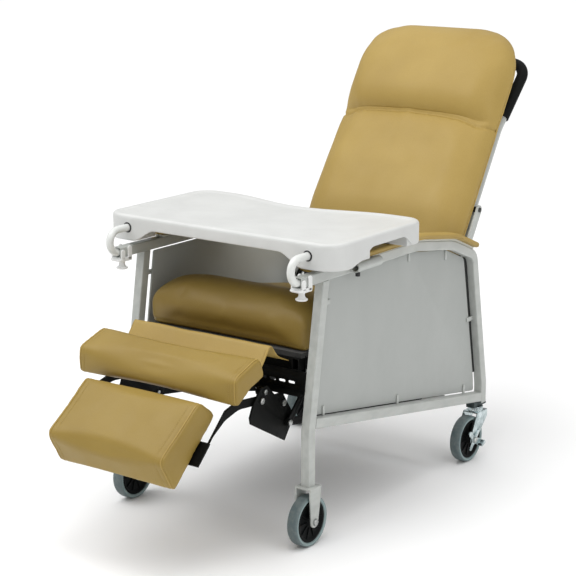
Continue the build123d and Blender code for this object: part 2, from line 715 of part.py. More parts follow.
SHOULDER = 140.0
BACK_EDGE = 36.0
BACK_FOOT_S = 0.0
PIVOT_RELIEF = 22.0
SEAM_S = 482.0
BACK_TOP_S = 764.0
with BuildPart() as back_cushion:
    with BuildSketch(back_plane(BACK_FACE + 0.2)):
        with Locations((0, (BACK_FOOT_S + SEAM_S) / 2)):
            Rectangle(2 * BACK_HALF, SEAM_S - BACK_FOOT_S - 1)
    extrude(amount=BACK_THICK)
    front_face = back_cushion.faces().filter_by(lambda f: f.normal_at().Y < -0.8)
    fillet(front_face.edges(), BACK_EDGE)
    with BuildSketch(side_plane(-BACK_HALF)):
        with Locations((PIVOT_Y, PIVOT_Z)):
            Circle(PIVOT_RELIEF)
    extrude(amount=2 * BACK_HALF, mode=Mode.SUBTRACT)
save(back_cushion, "back_cushion")

with BuildPart() as headrest:
    with BuildSketch(back_plane(BACK_FACE + 0.2)):
        straight = BACK_TOP_S - SHOULDER - SEAM_S
        with Locations((0, SEAM_S + straight / 2)):
            Rectangle(2 * BACK_HALF, straight)
        for _, sign in SIDES:
            with Locations((sign * (BACK_HALF - SHOULDER), BACK_TOP_S - SHOULDER)):
                Circle(SHOULDER)
        make_hull()
    extrude(amount=BACK_THICK)
    front_face = headrest.faces().filter_by(lambda f: f.normal_at().Y < -0.8)
    fillet(front_face.edges(), BACK_EDGE)
save(headrest, "headrest_cushion")

LINK_X = 255.0
LINK_BAR = 5.0
LINK_TOP_S = 258.0
LINK_LOW_S = 120.0
pivot = (PIVOT_Y, PIVOT_Z)


def on_back(up, forward=0.0):
    """Depth and height of a place on the leaning back."""
    return (PIVOT_Y + up * sin(LEAN) - forward * cos(LEAN), PIVOT_Z + up * cos(LEAN) + forward * sin(LEAN))


with BuildPart() as link_bars:
    for side, sign in SIDES:
        with BuildSketch(side_plane(sign * LINK_X)):
            bar_outline(pivot, on_back(LINK_TOP_S), 25)
            with Locations(pivot):
                Circle(STEM_R + FIT, mode=Mode.SUBTRACT)
            with Locations(on_back(LINK_TOP_S), on_back(LINK_LOW_S)):
                Circle(4.1, mode=Mode.SUBTRACT)
        extrude(amount=sign * LINK_BAR)
save(link_bars, "back_link_bars")

with BuildPart() as link_bolts:
    for side, sign in SIDES:
        for up in (LINK_LOW_S, LINK_TOP_S):
            for start, radius, length in ((BACK_TUBE_X + BACK_TUBE_R + 0.2, 8, 11.6), (LINK_X - 1, 4, 8),
                                          (LINK_X + LINK_BAR, 6.5, 2.5)):
                with BuildSketch(side_plane(sign * start)):
                    with Locations(on_back(up)):
                        Circle(radius)
                extrude(amount=sign * length)
save(link_bolts, "back_link_bolts")

with BuildPart() as hinge_brackets:
    for side, sign in SIDES:
        with BuildSketch(side_plane(sign * (RAIL_X + RAIL_WIDE))):
            with Locations(pivot):
                Circle(18)
            with Locations((PIVOT_Y, seat_z(PIVOT_Y) - RAIL_TALL / 2)):
                Rectangle(80, 26)
            make_hull()
            with Locations(pivot):
                Circle(STEM_R + 0.1, mode=Mode.SUBTRACT)
        extrude(amount=sign * 6)
save(hinge_brackets, "back_hinge_brackets")

with BuildPart() as hinge_pins:
    for side, sign in SIDES:
        pin_start = RAIL_X + RAIL_WIDE - 3
        for start, radius, length in ((pin_start, STEM_R, LINK_X + LINK_BAR + 0.4 - pin_start),
                                      (LINK_X + LINK_BAR + 0.4, 9, 3)):
            with BuildSketch(side_plane(sign * start)):
                with Locations(pivot):
                    Circle(radius)
            extrude(amount=sign * length)
save(hinge_pins, "back_hinge_pins")

# ------------------------------------------------------------------ tray and its hooks
with BuildSketch(Plane.XY) as tray_outline:
    with Locations((0, TRAY_DEEP / 2)):
        RectangleRounded(2 * TRAY_HALF, TRAY_DEEP, 55)
    belly_r = (250 ** 2 + 50 ** 2) / (2 * 50)
    with Locations((0, TRAY_DEEP - 50 + belly_r)):
        Circle(belly_r, mode=Mode.SUBTRACT)

BOSS_X = 110.0
BOSS_Y = 92.0
with BuildPart() as tray:
    with BuildSketch(plan_plane(TRAY_TOP - TRAY_SKIRT)):
        add(tray_outline.sketch)
    extrude(amount=TRAY_SKIRT)
    fillet(tray.faces().sort_by(Axis.Z)[-1].edges(), 4)
    with BuildSketch(plan_plane(TRAY_TOP - TRAY_SKIRT)):
        offset(tray_outline.sketch, amount=-TRAY_WALL)
    extrude(amount=TRAY_SKIRT - TRAY_WALL, mode=Mode.SUBTRACT)
    with BuildSketch(plan_plane(TRAY_FOOT)):
        add(tray_outline.sketch)
        with Locations((0, TRAY_DEEP / 2)):
            Rectangle(2 * (TRAY_HALF - BOSS_X), TRAY_DEEP + 10, mode=Mode.SUBTRACT)
            Rectangle(2 * TRAY_HALF + 10, TRAY_DEEP - 2 * BOSS_Y, mode=Mode.SUBTRACT)
    extrude(amount=TRAY_TOP - TRAY_WALL - TRAY_FOOT)
    for side, sign in SIDES:
        with BuildSketch(front_plane(-1)):
            with Locations((sign * FRAME_X, HOOK_Z)):
                Circle(HOOK_R + 0.1)
        extrude(amount=-62, mode=Mode.SUBTRACT)
save(tray, "tray")

hook_bend = (HOOK_Z - ARM_Z) / 2
with BuildPart() as hooks:
    for side, sign in SIDES:
        with BuildLine(side_plane(sign * FRAME_X)) as hook_line:
            Line((58, HOOK_Z), (HOOK_FRONT, HOOK_Z))
            ThreePointArc((HOOK_FRONT, HOOK_Z), (HOOK_FRONT - hook_bend, HOOK_Z - hook_bend), (HOOK_FRONT, ARM_Z))
            Line((HOOK_FRONT, ARM_Z), (200, ARM_Z))
        with BuildSketch(Plane(origin=hook_line.line @ 0, z_dir=hook_line.line % 0)):
            Circle(HOOK_R)
            Circle(HOOK_R - WALL, mode=Mode.SUBTRACT)
        sweep(path=hook_line.line)
save(hooks, "tray_hooks")

CLAMP_FRONT = -40.0
CLAMP_REAR = -6.0
CLAMP_FOOT = 632.0
CLAMP_TOP = 673.0
CLAMP_WIDE = 34.8
KNOB_Y = -23.0
SCREW_R = 4.0
with BuildPart() as clamps:
    for side, sign in SIDES:
        x = sign * FRAME_X
        with BuildSketch(front_plane(CLAMP_FRONT)):
            with Locations((x, (CLAMP_FOOT + CLAMP_TOP) / 2)):
                RectangleRounded(CLAMP_WIDE, CLAMP_TOP - CLAMP_FOOT, 5)
            with Locations((x, ARM_Z)):
                Rectangle(TUBE + 0.2, TUBE + 0.2, mode=Mode.SUBTRACT)
        extrude(amount=CLAMP_FRONT - CLAMP_REAR)
        with BuildSketch(plan_plane(CLAMP_FOOT)):
            with Locations((x, KNOB_Y)):
                RectangleRounded(CLAMP_WIDE, 46, 6)
        extrude(amount=4)
        with BuildSketch(plan_plane(CLAMP_FOOT - 1)):
            with Locations((x, KNOB_Y)):
                Circle(SCREW_R + FIT)
        extrude(amount=ARM_TOP - TUBE - CLAMP_FOOT + 1, mode=Mode.SUBTRACT)
save(clamps, "tray_clamps")

for side, sign in SIDES:
    x = sign * FRAME_X
    with BuildPart() as knob:
        with BuildSketch(front_plane(KNOB_Y)):
            with BuildLine():
                foot = CLAMP_FOOT - 20
                Polyline((x, foot + 19.6), (x, foot), (x + 13, foot), (x + 14.5, foot + 1.5), (x + 14.5, foot + 4))
                Spline((x + 14.5, foot + 4), (x + 9, foot + 8), (x + 7.5, foot + 15))
                Polyline((x + 7.5, foot + 15), (x + 7.5, foot + 19.6), (x, foot + 19.6))
            make_face()
        revolve(axis=Axis((x, AXLE_Y + KNOB_Y, 0), (0, 0, 1)))
        with BuildSketch(plan_plane(CLAMP_FOOT - 8)):
            with Locations((x, KNOB_Y)):
                with PolarLocations(15.6, 6):
                    Circle(3)
        extrude(amount=-14, mode=Mode.SUBTRACT)
        with BuildSketch(plan_plane(CLAMP_FOOT - 1)):
            with Locations((x, KNOB_Y)):
                Circle(SCREW_R)
        extrude(amount=ARM_TOP - TUBE - CLAMP_FOOT + 0.4)
    save(knob, f"{side}_clamp_knob")
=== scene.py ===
"""Looks of the patient recliner chair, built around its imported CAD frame.

Lengths in the helpers below are in millimetres, with depth measured from the front wheel axle, and
turned into the frame's metres by at() and on_back().
"""
import json
from math import atan2, cos, exp, hypot, pi, radians, sin

import bmesh
import bpy
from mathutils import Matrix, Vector, noise
from mathutils.bvhtree import BVHTree
from mathutils.kdtree import KDTree

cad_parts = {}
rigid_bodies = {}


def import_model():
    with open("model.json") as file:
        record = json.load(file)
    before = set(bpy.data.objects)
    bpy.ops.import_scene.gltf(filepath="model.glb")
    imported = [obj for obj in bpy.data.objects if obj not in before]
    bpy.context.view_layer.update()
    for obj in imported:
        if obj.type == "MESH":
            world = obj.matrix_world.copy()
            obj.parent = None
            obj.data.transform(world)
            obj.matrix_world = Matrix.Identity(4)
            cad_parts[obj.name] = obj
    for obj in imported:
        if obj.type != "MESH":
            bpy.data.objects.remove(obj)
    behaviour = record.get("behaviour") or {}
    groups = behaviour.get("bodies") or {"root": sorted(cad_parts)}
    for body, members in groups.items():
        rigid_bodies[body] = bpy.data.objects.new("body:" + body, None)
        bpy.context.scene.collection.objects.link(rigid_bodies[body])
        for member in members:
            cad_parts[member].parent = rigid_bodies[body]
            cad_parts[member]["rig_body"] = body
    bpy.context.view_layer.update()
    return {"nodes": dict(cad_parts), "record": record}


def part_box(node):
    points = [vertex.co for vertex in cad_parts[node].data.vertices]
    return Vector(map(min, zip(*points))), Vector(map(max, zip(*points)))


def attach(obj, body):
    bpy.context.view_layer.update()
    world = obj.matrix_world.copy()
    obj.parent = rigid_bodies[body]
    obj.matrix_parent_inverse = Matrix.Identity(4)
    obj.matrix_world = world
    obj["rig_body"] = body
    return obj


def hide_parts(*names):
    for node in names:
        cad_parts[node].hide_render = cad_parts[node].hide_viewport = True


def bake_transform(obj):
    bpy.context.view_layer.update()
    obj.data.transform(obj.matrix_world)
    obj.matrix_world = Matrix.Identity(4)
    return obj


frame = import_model()
NODES = frame["nodes"]
SIDES = (("left", 1), ("right", -1))
AXLE_Y = sum(corner.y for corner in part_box("left_front_hub")) / 2
MM = 0.001


def at(x, y, z):
    """A point of the frame, from millimetres."""
    return Vector((x * MM, AXLE_Y + y * MM, z * MM))


# The back's hinge and its lean at rest
PIVOT_Y, PIVOT_Z = 685.0, 470.0
LEAN = radians(32.0)
# Wheels, and the middle of each side tube, which the casters, hooks and clamps stand under or on
WHEEL_RADIUS = 63.5
REAR_AXLE = 750.0
TUBE_X = 277.0


def on_back(x, up, forward):
    """A point on the leaning back: across, up from its hinge, and forward of its board."""
    return at(x, PIVOT_Y + up * sin(LEAN) - forward * cos(LEAN), PIVOT_Z + up * cos(LEAN) + forward * sin(LEAN))


# ---- camera
def make_camera():
    """A long lens, aimed from the right of the chair's front and a little above it."""
    azimuth, elevation = radians(36.08), radians(13.35)
    data = bpy.data.cameras.new("camera")
    data.lens = 104.95
    data.sensor_width = 36.0
    data.shift_x = -0.011285
    data.shift_y = -0.022049
    data.clip_end = 200.0
    camera = bpy.data.objects.new("camera", data)
    bpy.context.scene.collection.objects.link(camera)
    camera.location = at(2481.9, -3076.9, 1565.5)
    view = Vector((-sin(azimuth) * cos(elevation), cos(azimuth) * cos(elevation), -sin(elevation)))
    camera.rotation_euler = view.to_track_quat("-Z", "Y").to_euler()
    bpy.context.scene.camera = camera


make_camera()


# ---- materials
def srgb(red, green, blue):
    """A linear colour from 0 to 255 display values."""
    channels = []
    for value in (red, green, blue):
        value /= 255
        channels.append(value / 12.92 if value <= 0.04045 else ((value + 0.055) / 1.055) ** 2.4)
    return (*channels, 1.0)


class Look:
    """A procedural material. Its textures read the object's own coordinates, in metres."""

    def __init__(self, name, **sockets):
        self.material = bpy.data.materials.new(name)
        self.material.use_nodes = True
        self.tree = self.material.node_tree
        self.shader = self.tree.nodes["Principled BSDF"]
        for socket, value in sockets.items():
            self.shader.inputs[socket.replace("_", " ")].default_value = value
        self.place = self.tree.nodes.new("ShaderNodeTexCoord").outputs["Object"]
        self.normal = None

    def made(self, kind, inputs, **settings):
        """A new node, with its settings and its inputs, each a number, a colour or another node's output."""
        node = self.tree.nodes.new(kind)
        for key, value in settings.items():
            setattr(node, key, value)
        for key, value in inputs.items():
            if isinstance(value, bpy.types.NodeSocket):
                self.tree.links.new(value, node.inputs[key])
            else:
                node.inputs[key].default_value = value
        return node

    def stretched(self, x, y, z):
        return self.made("ShaderNodeMapping", {"Vector": self.place, "Scale": (x, y, z)}).outputs["Vector"]

    def noise(self, scale, detail=2.0, where=None, distortion=0.0):
        values = {"Vector": where or self.place, "Scale": scale, "Detail": detail, "Distortion": distortion}
        return self.made("ShaderNodeTexNoise", values).outputs["Fac"]

    def cells(self, scale, where=None, feature="F1"):
        values = {"Vector": where or self.place, "Scale": scale}
        return self.made("ShaderNodeTexVoronoi", values, feature=feature).outputs["Distance"]

    def spread(self, value, low, high, to_low, to_high):
        """A value's range from low to high, taken to another range."""
        values = {"Value": value, "From Min": low, "From Max": high, "To Min": to_low, "To Max": to_high}
        return self.made("ShaderNodeMapRange", values).outputs["Result"]

    def ramp(self, value, *stops):
        node = self.made("ShaderNodeValToRGB", {"Fac": value})
        elements = node.color_ramp.elements
        while len(elements) < len(stops):
            elements.new(0.5)
        for element, (position, colour) in zip(elements, stops):
            element.position = position
            element.color = colour
        return node.outputs["Color"]

    def mix(self, share, first, second, blend="MIX"):
        inputs = {0: share, 6: first, 7: second}
        return self.made("ShaderNodeMix", inputs, data_type="RGBA", blend_type=blend).outputs[2]

    def bump(self, height, strength, distance):
        values = {"Height": height, "Strength": strength, "Distance": distance}
        if self.normal:
            values["Normal"] = self.normal
        self.normal = self.made("ShaderNodeBump", values).outputs["Normal"]

    def wear(self, colour=None, roughness=None):
        """Ends the material: links its colour, roughness and bumps to the shader."""
        for key, value in (("Base Color", colour), ("Roughness", roughness), ("Normal", self.normal)):
            if value is not None:
                self.tree.links.new(value, self.shader.inputs[key])
        return self.material


def vinyl_look(name, low, high):
    """Coated upholstery vinyl: a fine pebble grain, soft creases and a slight unevenness of colour."""
    look = Look(name, Specular_IOR_Level=0.35)
    broad = look.noise(5.0, 4.0)
    tone = look.ramp(broad, (0.3, low), (0.72, high))
    grain = look.cells(620.0)
    pores = look.ramp(grain, (0.1, srgb(150, 125, 72)), (0.5, srgb(255, 255, 255)))
    look.bump(look.noise(38.0, 5.0, distortion=0.5), 0.10, 0.0012)
    look.bump(grain, 0.25, 0.00022)
    rough = look.spread(look.noise(22.0, 4.0), 0.3, 0.7, 0.44, 0.54)
    return look.wear(look.mix(0.16, tone, pores, "MULTIPLY"), rough)


def paint_look(name, low, high, rough, peel=0.12):
    """Powder-coated tube: orange-peel skin and faint scuffs."""
    look = Look(name, Specular_IOR_Level=0.5, Coat_Weight=0.25, Coat_Roughness=0.22)
    scuff = look.noise(70.0, 6.0, look.stretched(1.0, 0.25, 0.6))
    tone = look.ramp(scuff, (0.32, low), (0.62, high))
    look.bump(look.noise(480.0, 2.0), peel, 0.0004)
    return look.wear(tone, look.spread(scuff, 0.35, 0.7, rough, rough + 0.12))


def moulded_look(name, low, high, rough, grain=900.0, depth=0.00012):
    """Moulded plastic: a fine matte texture with faint flow marks."""
    look = Look(name, Specular_IOR_Level=0.5)
    flow = look.noise(9.0, 5.0, look.stretched(1.0, 1.0, 0.4), 0.6)
    tone = look.ramp(flow, (0.3, low), (0.7, high))
    look.bump(look.cells(grain), 0.3, depth)
    look.bump(look.noise(14.0, 3.0), 0.08, 0.0015)
    return look.wear(tone, look.spread(look.noise(45.0, 4.0), 0.3, 0.7, rough, rough + 0.1))


def steel_look(name, low, high, rough):
    """Plated or bare steel with fine drawn lines."""
    look = Look(name, Metallic=1.0)
    lines = look.noise(240.0, 3.0, look.stretched(0.08, 1.0, 1.0))
    look.bump(lines, 0.12, 0.0002)
    spots = look.noise(60.0, 5.0)
    return look.wear(look.ramp(spots, (0.35, low), (0.65, high)), look.spread(lines, 0.3, 0.7, rough, rough + 0.14))


def rubber_look(name, low, high, rough, scale=1500.0, gloss=0.35):
    look = Look(name, Specular_IOR_Level=gloss)
    dust = look.noise(55.0, 6.0)
    look.bump(look.cells(scale), 0.5, 0.0002)
    return look.wear(look.ramp(dust, (0.35, low), (0.7, high)), look.spread(dust, 0.3, 0.7, rough, rough + 0.12))


def tyre_look(name, depth):
    """Grey rubber with a paler sidewall band and a worn tread, by distance from the axle."""
    look = Look(name, Specular_IOR_Level=0.4)
    parts = look.made("ShaderNodeSeparateXYZ", {"Vector": look.place})
    across = look.made("ShaderNodeMath", {0: parts.outputs["Y"], 1: AXLE_Y + depth * MM}, operation="SUBTRACT")
    upward = look.made("ShaderNodeMath", {0: parts.outputs["Z"], 1: WHEEL_RADIUS * MM}, operation="SUBTRACT")
    flat = look.made("ShaderNodeCombineXYZ", {"X": across.outputs[0], "Y": upward.outputs[0]})
    radius = look.made("ShaderNodeVectorMath", {0: flat.outputs[0]}, operation="LENGTH").outputs["Value"]
    share = look.spread(radius, 51 * MM, 64 * MM, 0.0, 1.0)
    bands = look.ramp(share, (0.0, srgb(70, 84, 86)), (0.22, srgb(112, 129, 130)), (0.34, srgb(138, 157, 157)),
                      (0.62, srgb(128, 147, 148)), (0.74, srgb(98, 113, 115)), (1.0, srgb(84, 97, 99)))
    dust = look.noise(90.0, 6.0)
    tone = look.mix(look.spread(dust, 0.4, 0.8, 0.0, 0.35), bands, srgb(146, 150, 146))
    look.bump(look.noise(700.0, 3.0), 0.25, 0.0002)
    return look.wear(tone, look.spread(dust, 0.3, 0.7, 0.42, 0.6))


def board_look():
    """Plywood with stretched grain."""
    look = Look("plywood", Specular_IOR_Level=0.3)
    grain = look.noise(60.0, 6.0, look.stretched(0.08, 1.0, 1.0), 1.2)
    tone = look.ramp(grain, (0.3, srgb(128, 98, 62)), (0.5, srgb(164, 131, 88)), (0.7, srgb(184, 152, 108)))
    look.bump(grain, 0.2, 0.0003)
    return look.wear(tone, look.spread(grain, 0.3, 0.7, 0.6, 0.75))


def cloth_look():
    """Woven black dust cover, in crossing threads."""
    look = Look("dust_cloth", Specular_IOR_Level=0.2, Sheen_Weight=0.3)
    threads = []
    for direction in ("X", "Z"):
        wave = look.made("ShaderNodeTexWave", {"Vector": look.place, "Scale": 260.0, "Distortion": 0.4},
                         bands_direction=direction)
        threads.append(wave.outputs["Fac"])
    weave = look.made("ShaderNodeMath", {0: threads[0], 1: threads[1]}, operation="MULTIPLY").outputs[0]
    look.bump(weave, 0.5, 0.0003)
    tone = look.ramp(weave, (0.1, srgb(20, 20, 20)), (0.8, srgb(44, 44, 42)))
    return look.wear(tone, look.spread(look.noise(40.0, 3.0), 0.3, 0.7, 0.75, 0.9))


VINYL = vinyl_look("tan_vinyl", srgb(160, 134, 69), srgb(171, 145, 79))
# A darker copy of the tan vinyl for the seat cushion: painted shade for the shadow under the tray.
SEAT_VINYL_PAINTED_SHADE = vinyl_look("tan_vinyl_seat_painted_shade", srgb(124, 102, 45), srgb(134, 112, 52))
# A darker copy of the tan vinyl for the leg pads: painted shade for the weaker light that reaches them below the
# tray.
LEG_VINYL_PAINTED_SHADE = vinyl_look("tan_vinyl_leg_rest_painted_shade", srgb(140, 116, 53), srgb(151, 127, 61))
FRAME_PAINT = paint_look("grey_paint", srgb(166, 169, 165), srgb(178, 181, 177), 0.38)
HOOK_PAINT = paint_look("hook_paint", srgb(202, 204, 201), srgb(214, 216, 213), 0.3)
PANEL_GREY = moulded_look("panel_plastic", srgb(164, 167, 164), srgb(169, 172, 169), 0.5, 520.0, 0.0002)
PAD_BASE = moulded_look("strip_plastic", srgb(190, 192, 184), srgb(204, 206, 198), 0.45)
BLACK_STEEL = rubber_look("black_paint", srgb(2, 3, 2), srgb(8, 9, 8), 0.5, 700.0, 0.14)
FASTENER = steel_look("zinc_steel", srgb(150, 152, 150), srgb(206, 208, 206), 0.28)
BLACK_PLASTIC = moulded_look("black_plastic", srgb(14, 15, 15), srgb(26, 27, 27), 0.4)
BOARD = board_look()
DUST_CLOTH = cloth_look()
GRIP_FOAM = rubber_look("grip_foam", srgb(6, 7, 7), srgb(15, 17, 16), 0.6, 900.0, 0.15)
TRAY_WHITE = moulded_look("tray_plastic", srgb(193, 194, 192), srgb(201, 202, 200), 0.42, 700.0, 0.00008)
CLAMP_WHITE = moulded_look("clamp_plastic", srgb(212, 213, 211), srgb(226, 227, 226), 0.3)
HUB_BLACK = rubber_look("hub_plastic", srgb(2, 4, 4), srgb(9, 12, 12), 0.45, 900.0, 0.12)
DARK_STEEL = steel_look("dark_steel", srgb(52, 60, 60), srgb(84, 92, 92), 0.4)
CHROME = steel_look("chrome_plate", srgb(150, 164, 166), srgb(208, 218, 220), 0.16)
TYRES = {"front": tyre_look("front_tyre_rubber", 0.0), "rear": tyre_look("rear_tyre_rubber", REAR_AXLE)}
SLOT_LOOKS = {
    "frame_paint": FRAME_PAINT, "panel_grey": PANEL_GREY, "clip_grey": FRAME_PAINT, "pad_base": PAD_BASE,
    "dust_cover": DUST_CLOTH, "black_steel": BLACK_STEEL, "fastener": FASTENER,
    "black_plastic": BLACK_PLASTIC, "board": BOARD, "vinyl": VINYL, "grip_foam": GRIP_FOAM,
    "tray_plastic": TRAY_WHITE, "clamp_white": CLAMP_WHITE, "tyre_grey": TYRES["front"],
    "hub_black": HUB_BLACK, "caster_chrome": CHROME,
}
SLOT_OF = {part["node"]: part["material_slot"] for part in frame["record"]["subparts"]}


def dress(piece, look):
    """Puts one material on a piece."""
    piece.data.materials.clear()
    piece.data.materials.append(look)


for node_name, node_object in NODES.items():
    dress(node_object, SLOT_LOOKS[SLOT_OF[node_name]])
dress(NODES["tray_hooks"], HOOK_PAINT)
for side, _ in SIDES:
    dress(NODES[f"{side}_rear_tyre"], TYRES["rear"])


# ---- mesh helpers
def new_piece(name, verts, faces, smooth=True):
    mesh = bpy.data.meshes.new(name)
    mesh.from_pydata(verts, [], faces)
    mesh.update()
    mesh.polygons.foreach_set("use_smooth", [smooth] * len(mesh.polygons))
    piece = bpy.data.objects.new(name, mesh)
    bpy.context.scene.collection.objects.link(piece)
    return piece


def from_bmesh(name, mesh):
    """A new piece from an edited mesh."""
    made = bpy.data.meshes.new(name)
    mesh.to_mesh(made)
    mesh.free()
    piece = bpy.data.objects.new(name, made)
    bpy.context.scene.collection.objects.link(piece)
    return piece


def all_smooth(piece):
    piece.data.polygons.foreach_set("use_smooth", [True] * len(piece.data.polygons))


def settle(piece):
    """Applies a piece's modifiers to its mesh."""
    depsgraph = bpy.context.evaluated_depsgraph_get()
    made = bpy.data.meshes.new_from_object(piece.evaluated_get(depsgraph))
    piece.modifiers.clear()
    piece.data = made
    return piece


def place(piece, body, look, slot_name, *nodes):
    """Dresses a finished piece and makes it ride on its body, in place of some CAD nodes."""
    dress(piece, look)
    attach(piece, body)
    if nodes:
        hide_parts(*nodes)


def loft(name, rings, closed=True, caps=True):
    """A smooth skin over rings with the same number of points, closed round each ring."""
    count = len(rings[0])
    verts = [point for ring in rings for point in ring]
    faces = []
    for row in range(len(rings) - 1):
        for k in range(count if closed else count - 1):
            after = (k + 1) % count
            low, high = row * count, (row + 1) * count
            faces.append((low + k, low + after, high + after, high + k))
    if caps:
        last = (len(rings) - 1) * count
        faces.append(tuple(reversed(range(count))))
        faces.append(tuple(last + k for k in range(count)))
    return new_piece(name, verts, faces)


def opened(piece):
    """A piece's mesh, ready to be edited."""
    mesh = bmesh.new()
    mesh.from_mesh(piece.data)
    return mesh


def shut(piece, mesh):
    """Puts an edited mesh back into its piece, with its faces outward."""
    bmesh.ops.recalc_face_normals(mesh, faces=mesh.faces)
    mesh.to_mesh(piece.data)
    mesh.free()
    return piece


def outward(piece):
    return shut(piece, opened(piece))


def bevelled(piece, width, segments=2):
    """Rounds a piece's sharp edges."""
    bevel = piece.modifiers.new("bevel", "BEVEL")
    bevel.width = width * MM
    bevel.segments = segments
    bevel.limit_method = "ANGLE"
    bevel.angle_limit = radians(35)
    bevel.harden_normals = True
    return settle(piece)


def softened(node, width, look=None):
    """A copy of a hard CAD node with its sharp edges rounded."""
    mesh = opened(NODES[node])
    bmesh.ops.remove_doubles(mesh, verts=mesh.verts, dist=1e-5)
    bmesh.ops.dissolve_limit(mesh, angle_limit=radians(0.8), verts=mesh.verts, edges=mesh.edges)
    piece = from_bmesh(f"{node}_finish", mesh)
    all_smooth(piece)
    bevelled(piece, width)
    place(piece, NODES[node]["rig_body"], look or SLOT_LOOKS[SLOT_OF[node]], SLOT_OF[node], node)


def prism(name, outline, placed, start, stop, bevel):
    """A plate from an outline, with rounded edges. placed() takes a point of the outline and a depth."""
    rings = [[placed(u, v, depth) for u, v in outline] for depth in (start, stop)]
    return bevelled(outward(loft(name, rings)), bevel, 3)


def bend(start, here, stop, steps):
    """Points of a smooth turn from start to stop, drawn towards here."""
    shares = [k / steps for k in range(steps + 1)]
    return [start * (1 - t) ** 2 + here * 2 * t * (1 - t) + stop * t ** 2 for t in shares]


def rounded(corners, radius, steps=6):
    """A closed outline with its corners rounded. radius is one number, or one for each corner."""
    points = []
    count = len(corners)
    for k, corner in enumerate(corners):
        here = Vector(corner)
        back = Vector(corners[k - 1]) - here
        ahead = Vector(corners[(k + 1) % count]) - here
        size = radius[k] if isinstance(radius, (list, tuple)) else radius
        half = back.angle(ahead) / 2
        reach = min(size * cos(half) / sin(half), back.length * 0.49, ahead.length * 0.49)
        start, stop = here + back.normalized() * reach, here + ahead.normalized() * reach
        points += bend(start, here, stop, steps)
    return points


def resampled(points, gap, closed=True):
    """Points at an even distance along a line."""
    line = list(points) + ([points[0]] if closed else [])
    lengths = [(b - a).length for a, b in zip(line, line[1:])]
    total = sum(lengths)
    count = max(3, round(total / gap))
    made, index, walked = [], 0, 0.0
    for k in range(count if closed else count + 1):
        target = total * k / count
        while index < len(lengths) - 1 and walked + lengths[index] < target:
            walked += lengths[index]
            index += 1
        share = (target - walked) / max(lengths[index], 1e-9)
        made.append(line[index].lerp(line[index + 1], min(share, 1.0)))
    return made


def ease(value, low, high):
    share = max(0.0, min(1.0, (value - low) / (high - low)))
    return share * share * (3 - 2 * share)


def tube_along(name, points, radius, sides, closed=False):
    """A round skin along a line of points in metres, with ends closed."""
    count = len(points)
    rings, across = [], None
    for k, point in enumerate(points):
        before = points[k - 1] if closed or k else point
        after = points[(k + 1) % count] if closed or k < count - 1 else point
        heading = (after - before).normalized()
        if across is None:
            across = heading.orthogonal().normalized()
        across = (across - heading * across.dot(heading)).normalized()
        upward = heading.cross(across)
        rings.append([point + across * radius * cos(2 * pi * s / sides)
                      + upward * radius * sin(2 * pi * s / sides) for s in range(sides)])
    if not closed:
        return loft(name, rings)
    piece = loft(name, rings, caps=False)
    mesh = opened(piece)
    mesh.verts.ensure_lookup_table()
    first, last = mesh.verts[:sides], mesh.verts[-sides:]
    turn = min(range(sides), key=lambda t: sum((last[s].co - first[(s + t) % sides].co).length
                                               for s in range(sides)))
    for s in range(sides):
        mesh.faces.new((last[s], last[(s + 1) % sides], first[(s + 1 + turn) % sides], first[(s + turn) % sides]))
    for face in mesh.faces:
        face.smooth = True
    return shut(piece, mesh)


def joined(pieces, name):
    """Several pieces as one mesh."""
    mesh = bmesh.new()
    for piece in pieces:
        mesh.from_mesh(piece.data)
        bpy.data.objects.remove(piece)
    return from_bmesh(name, mesh)


# ---- upholstery
CLOTH_FRAMES = 14


def smoothed(piece, rounds):
    modifier = piece.modifiers.new("smooth", "SMOOTH")
    modifier.iterations = rounds
    modifier.factor = 0.5
    settle(piece)


def stuffed(piece, voxel, cap, pinned=None, floor=None):
    """Fills a closed shell like foam under a cover: air pressure under cloth, with each point's way limited.

    voxel and cap are millimetres: the size of the mesh's squares, and the furthest that a point may move.
    pinned(co) is True where a seam holds the cover, and floor is a (point, normal) plane that it rests on.
    """
    outward(piece)
    remesh = piece.modifiers.new("remesh", "REMESH")
    remesh.mode = "VOXEL"
    remesh.voxel_size = voxel * MM
    settle(piece)
    smoothed(piece, 3)
    mesh = piece.data
    before = [v.co.copy() for v in mesh.vertices]
    cloth = piece.modifiers.new("cover", "CLOTH")
    settings = cloth.settings
    settings.quality = 5
    settings.mass = 0.3
    settings.tension_stiffness = settings.compression_stiffness = 15
    settings.shear_stiffness = 5
    settings.bending_stiffness = 0.6
    settings.use_pressure = True
    settings.uniform_pressure_force = 4.0
    settings.effector_weights.gravity = 0
    cloth.collision_settings.use_collision = False
    if pinned:
        held = piece.vertex_groups.new(name="seams")
        held.add([k for k, co in enumerate(before) if pinned(co)], 1.0, "REPLACE")
        settings.vertex_group_mass = "seams"
    cloth.point_cache.frame_start = 1
    cloth.point_cache.frame_end = CLOTH_FRAMES
    scene = bpy.context.scene
    for step in range(1, CLOTH_FRAMES + 1):
        scene.frame_set(step)
    settle(piece)
    scene.frame_set(1)
    mesh = piece.data
    limit = cap * MM
    for vertex, start in zip(mesh.vertices, before):
        move = vertex.co - start
        if move.length > limit:
            vertex.co = start + move * (limit / move.length)
    if floor:
        point, normal = floor
        for vertex in mesh.vertices:
            below = (vertex.co - point).dot(normal)
            if below < 0:
                vertex.co -= normal * below
    mesh.update()
    smoothed(piece, 2)


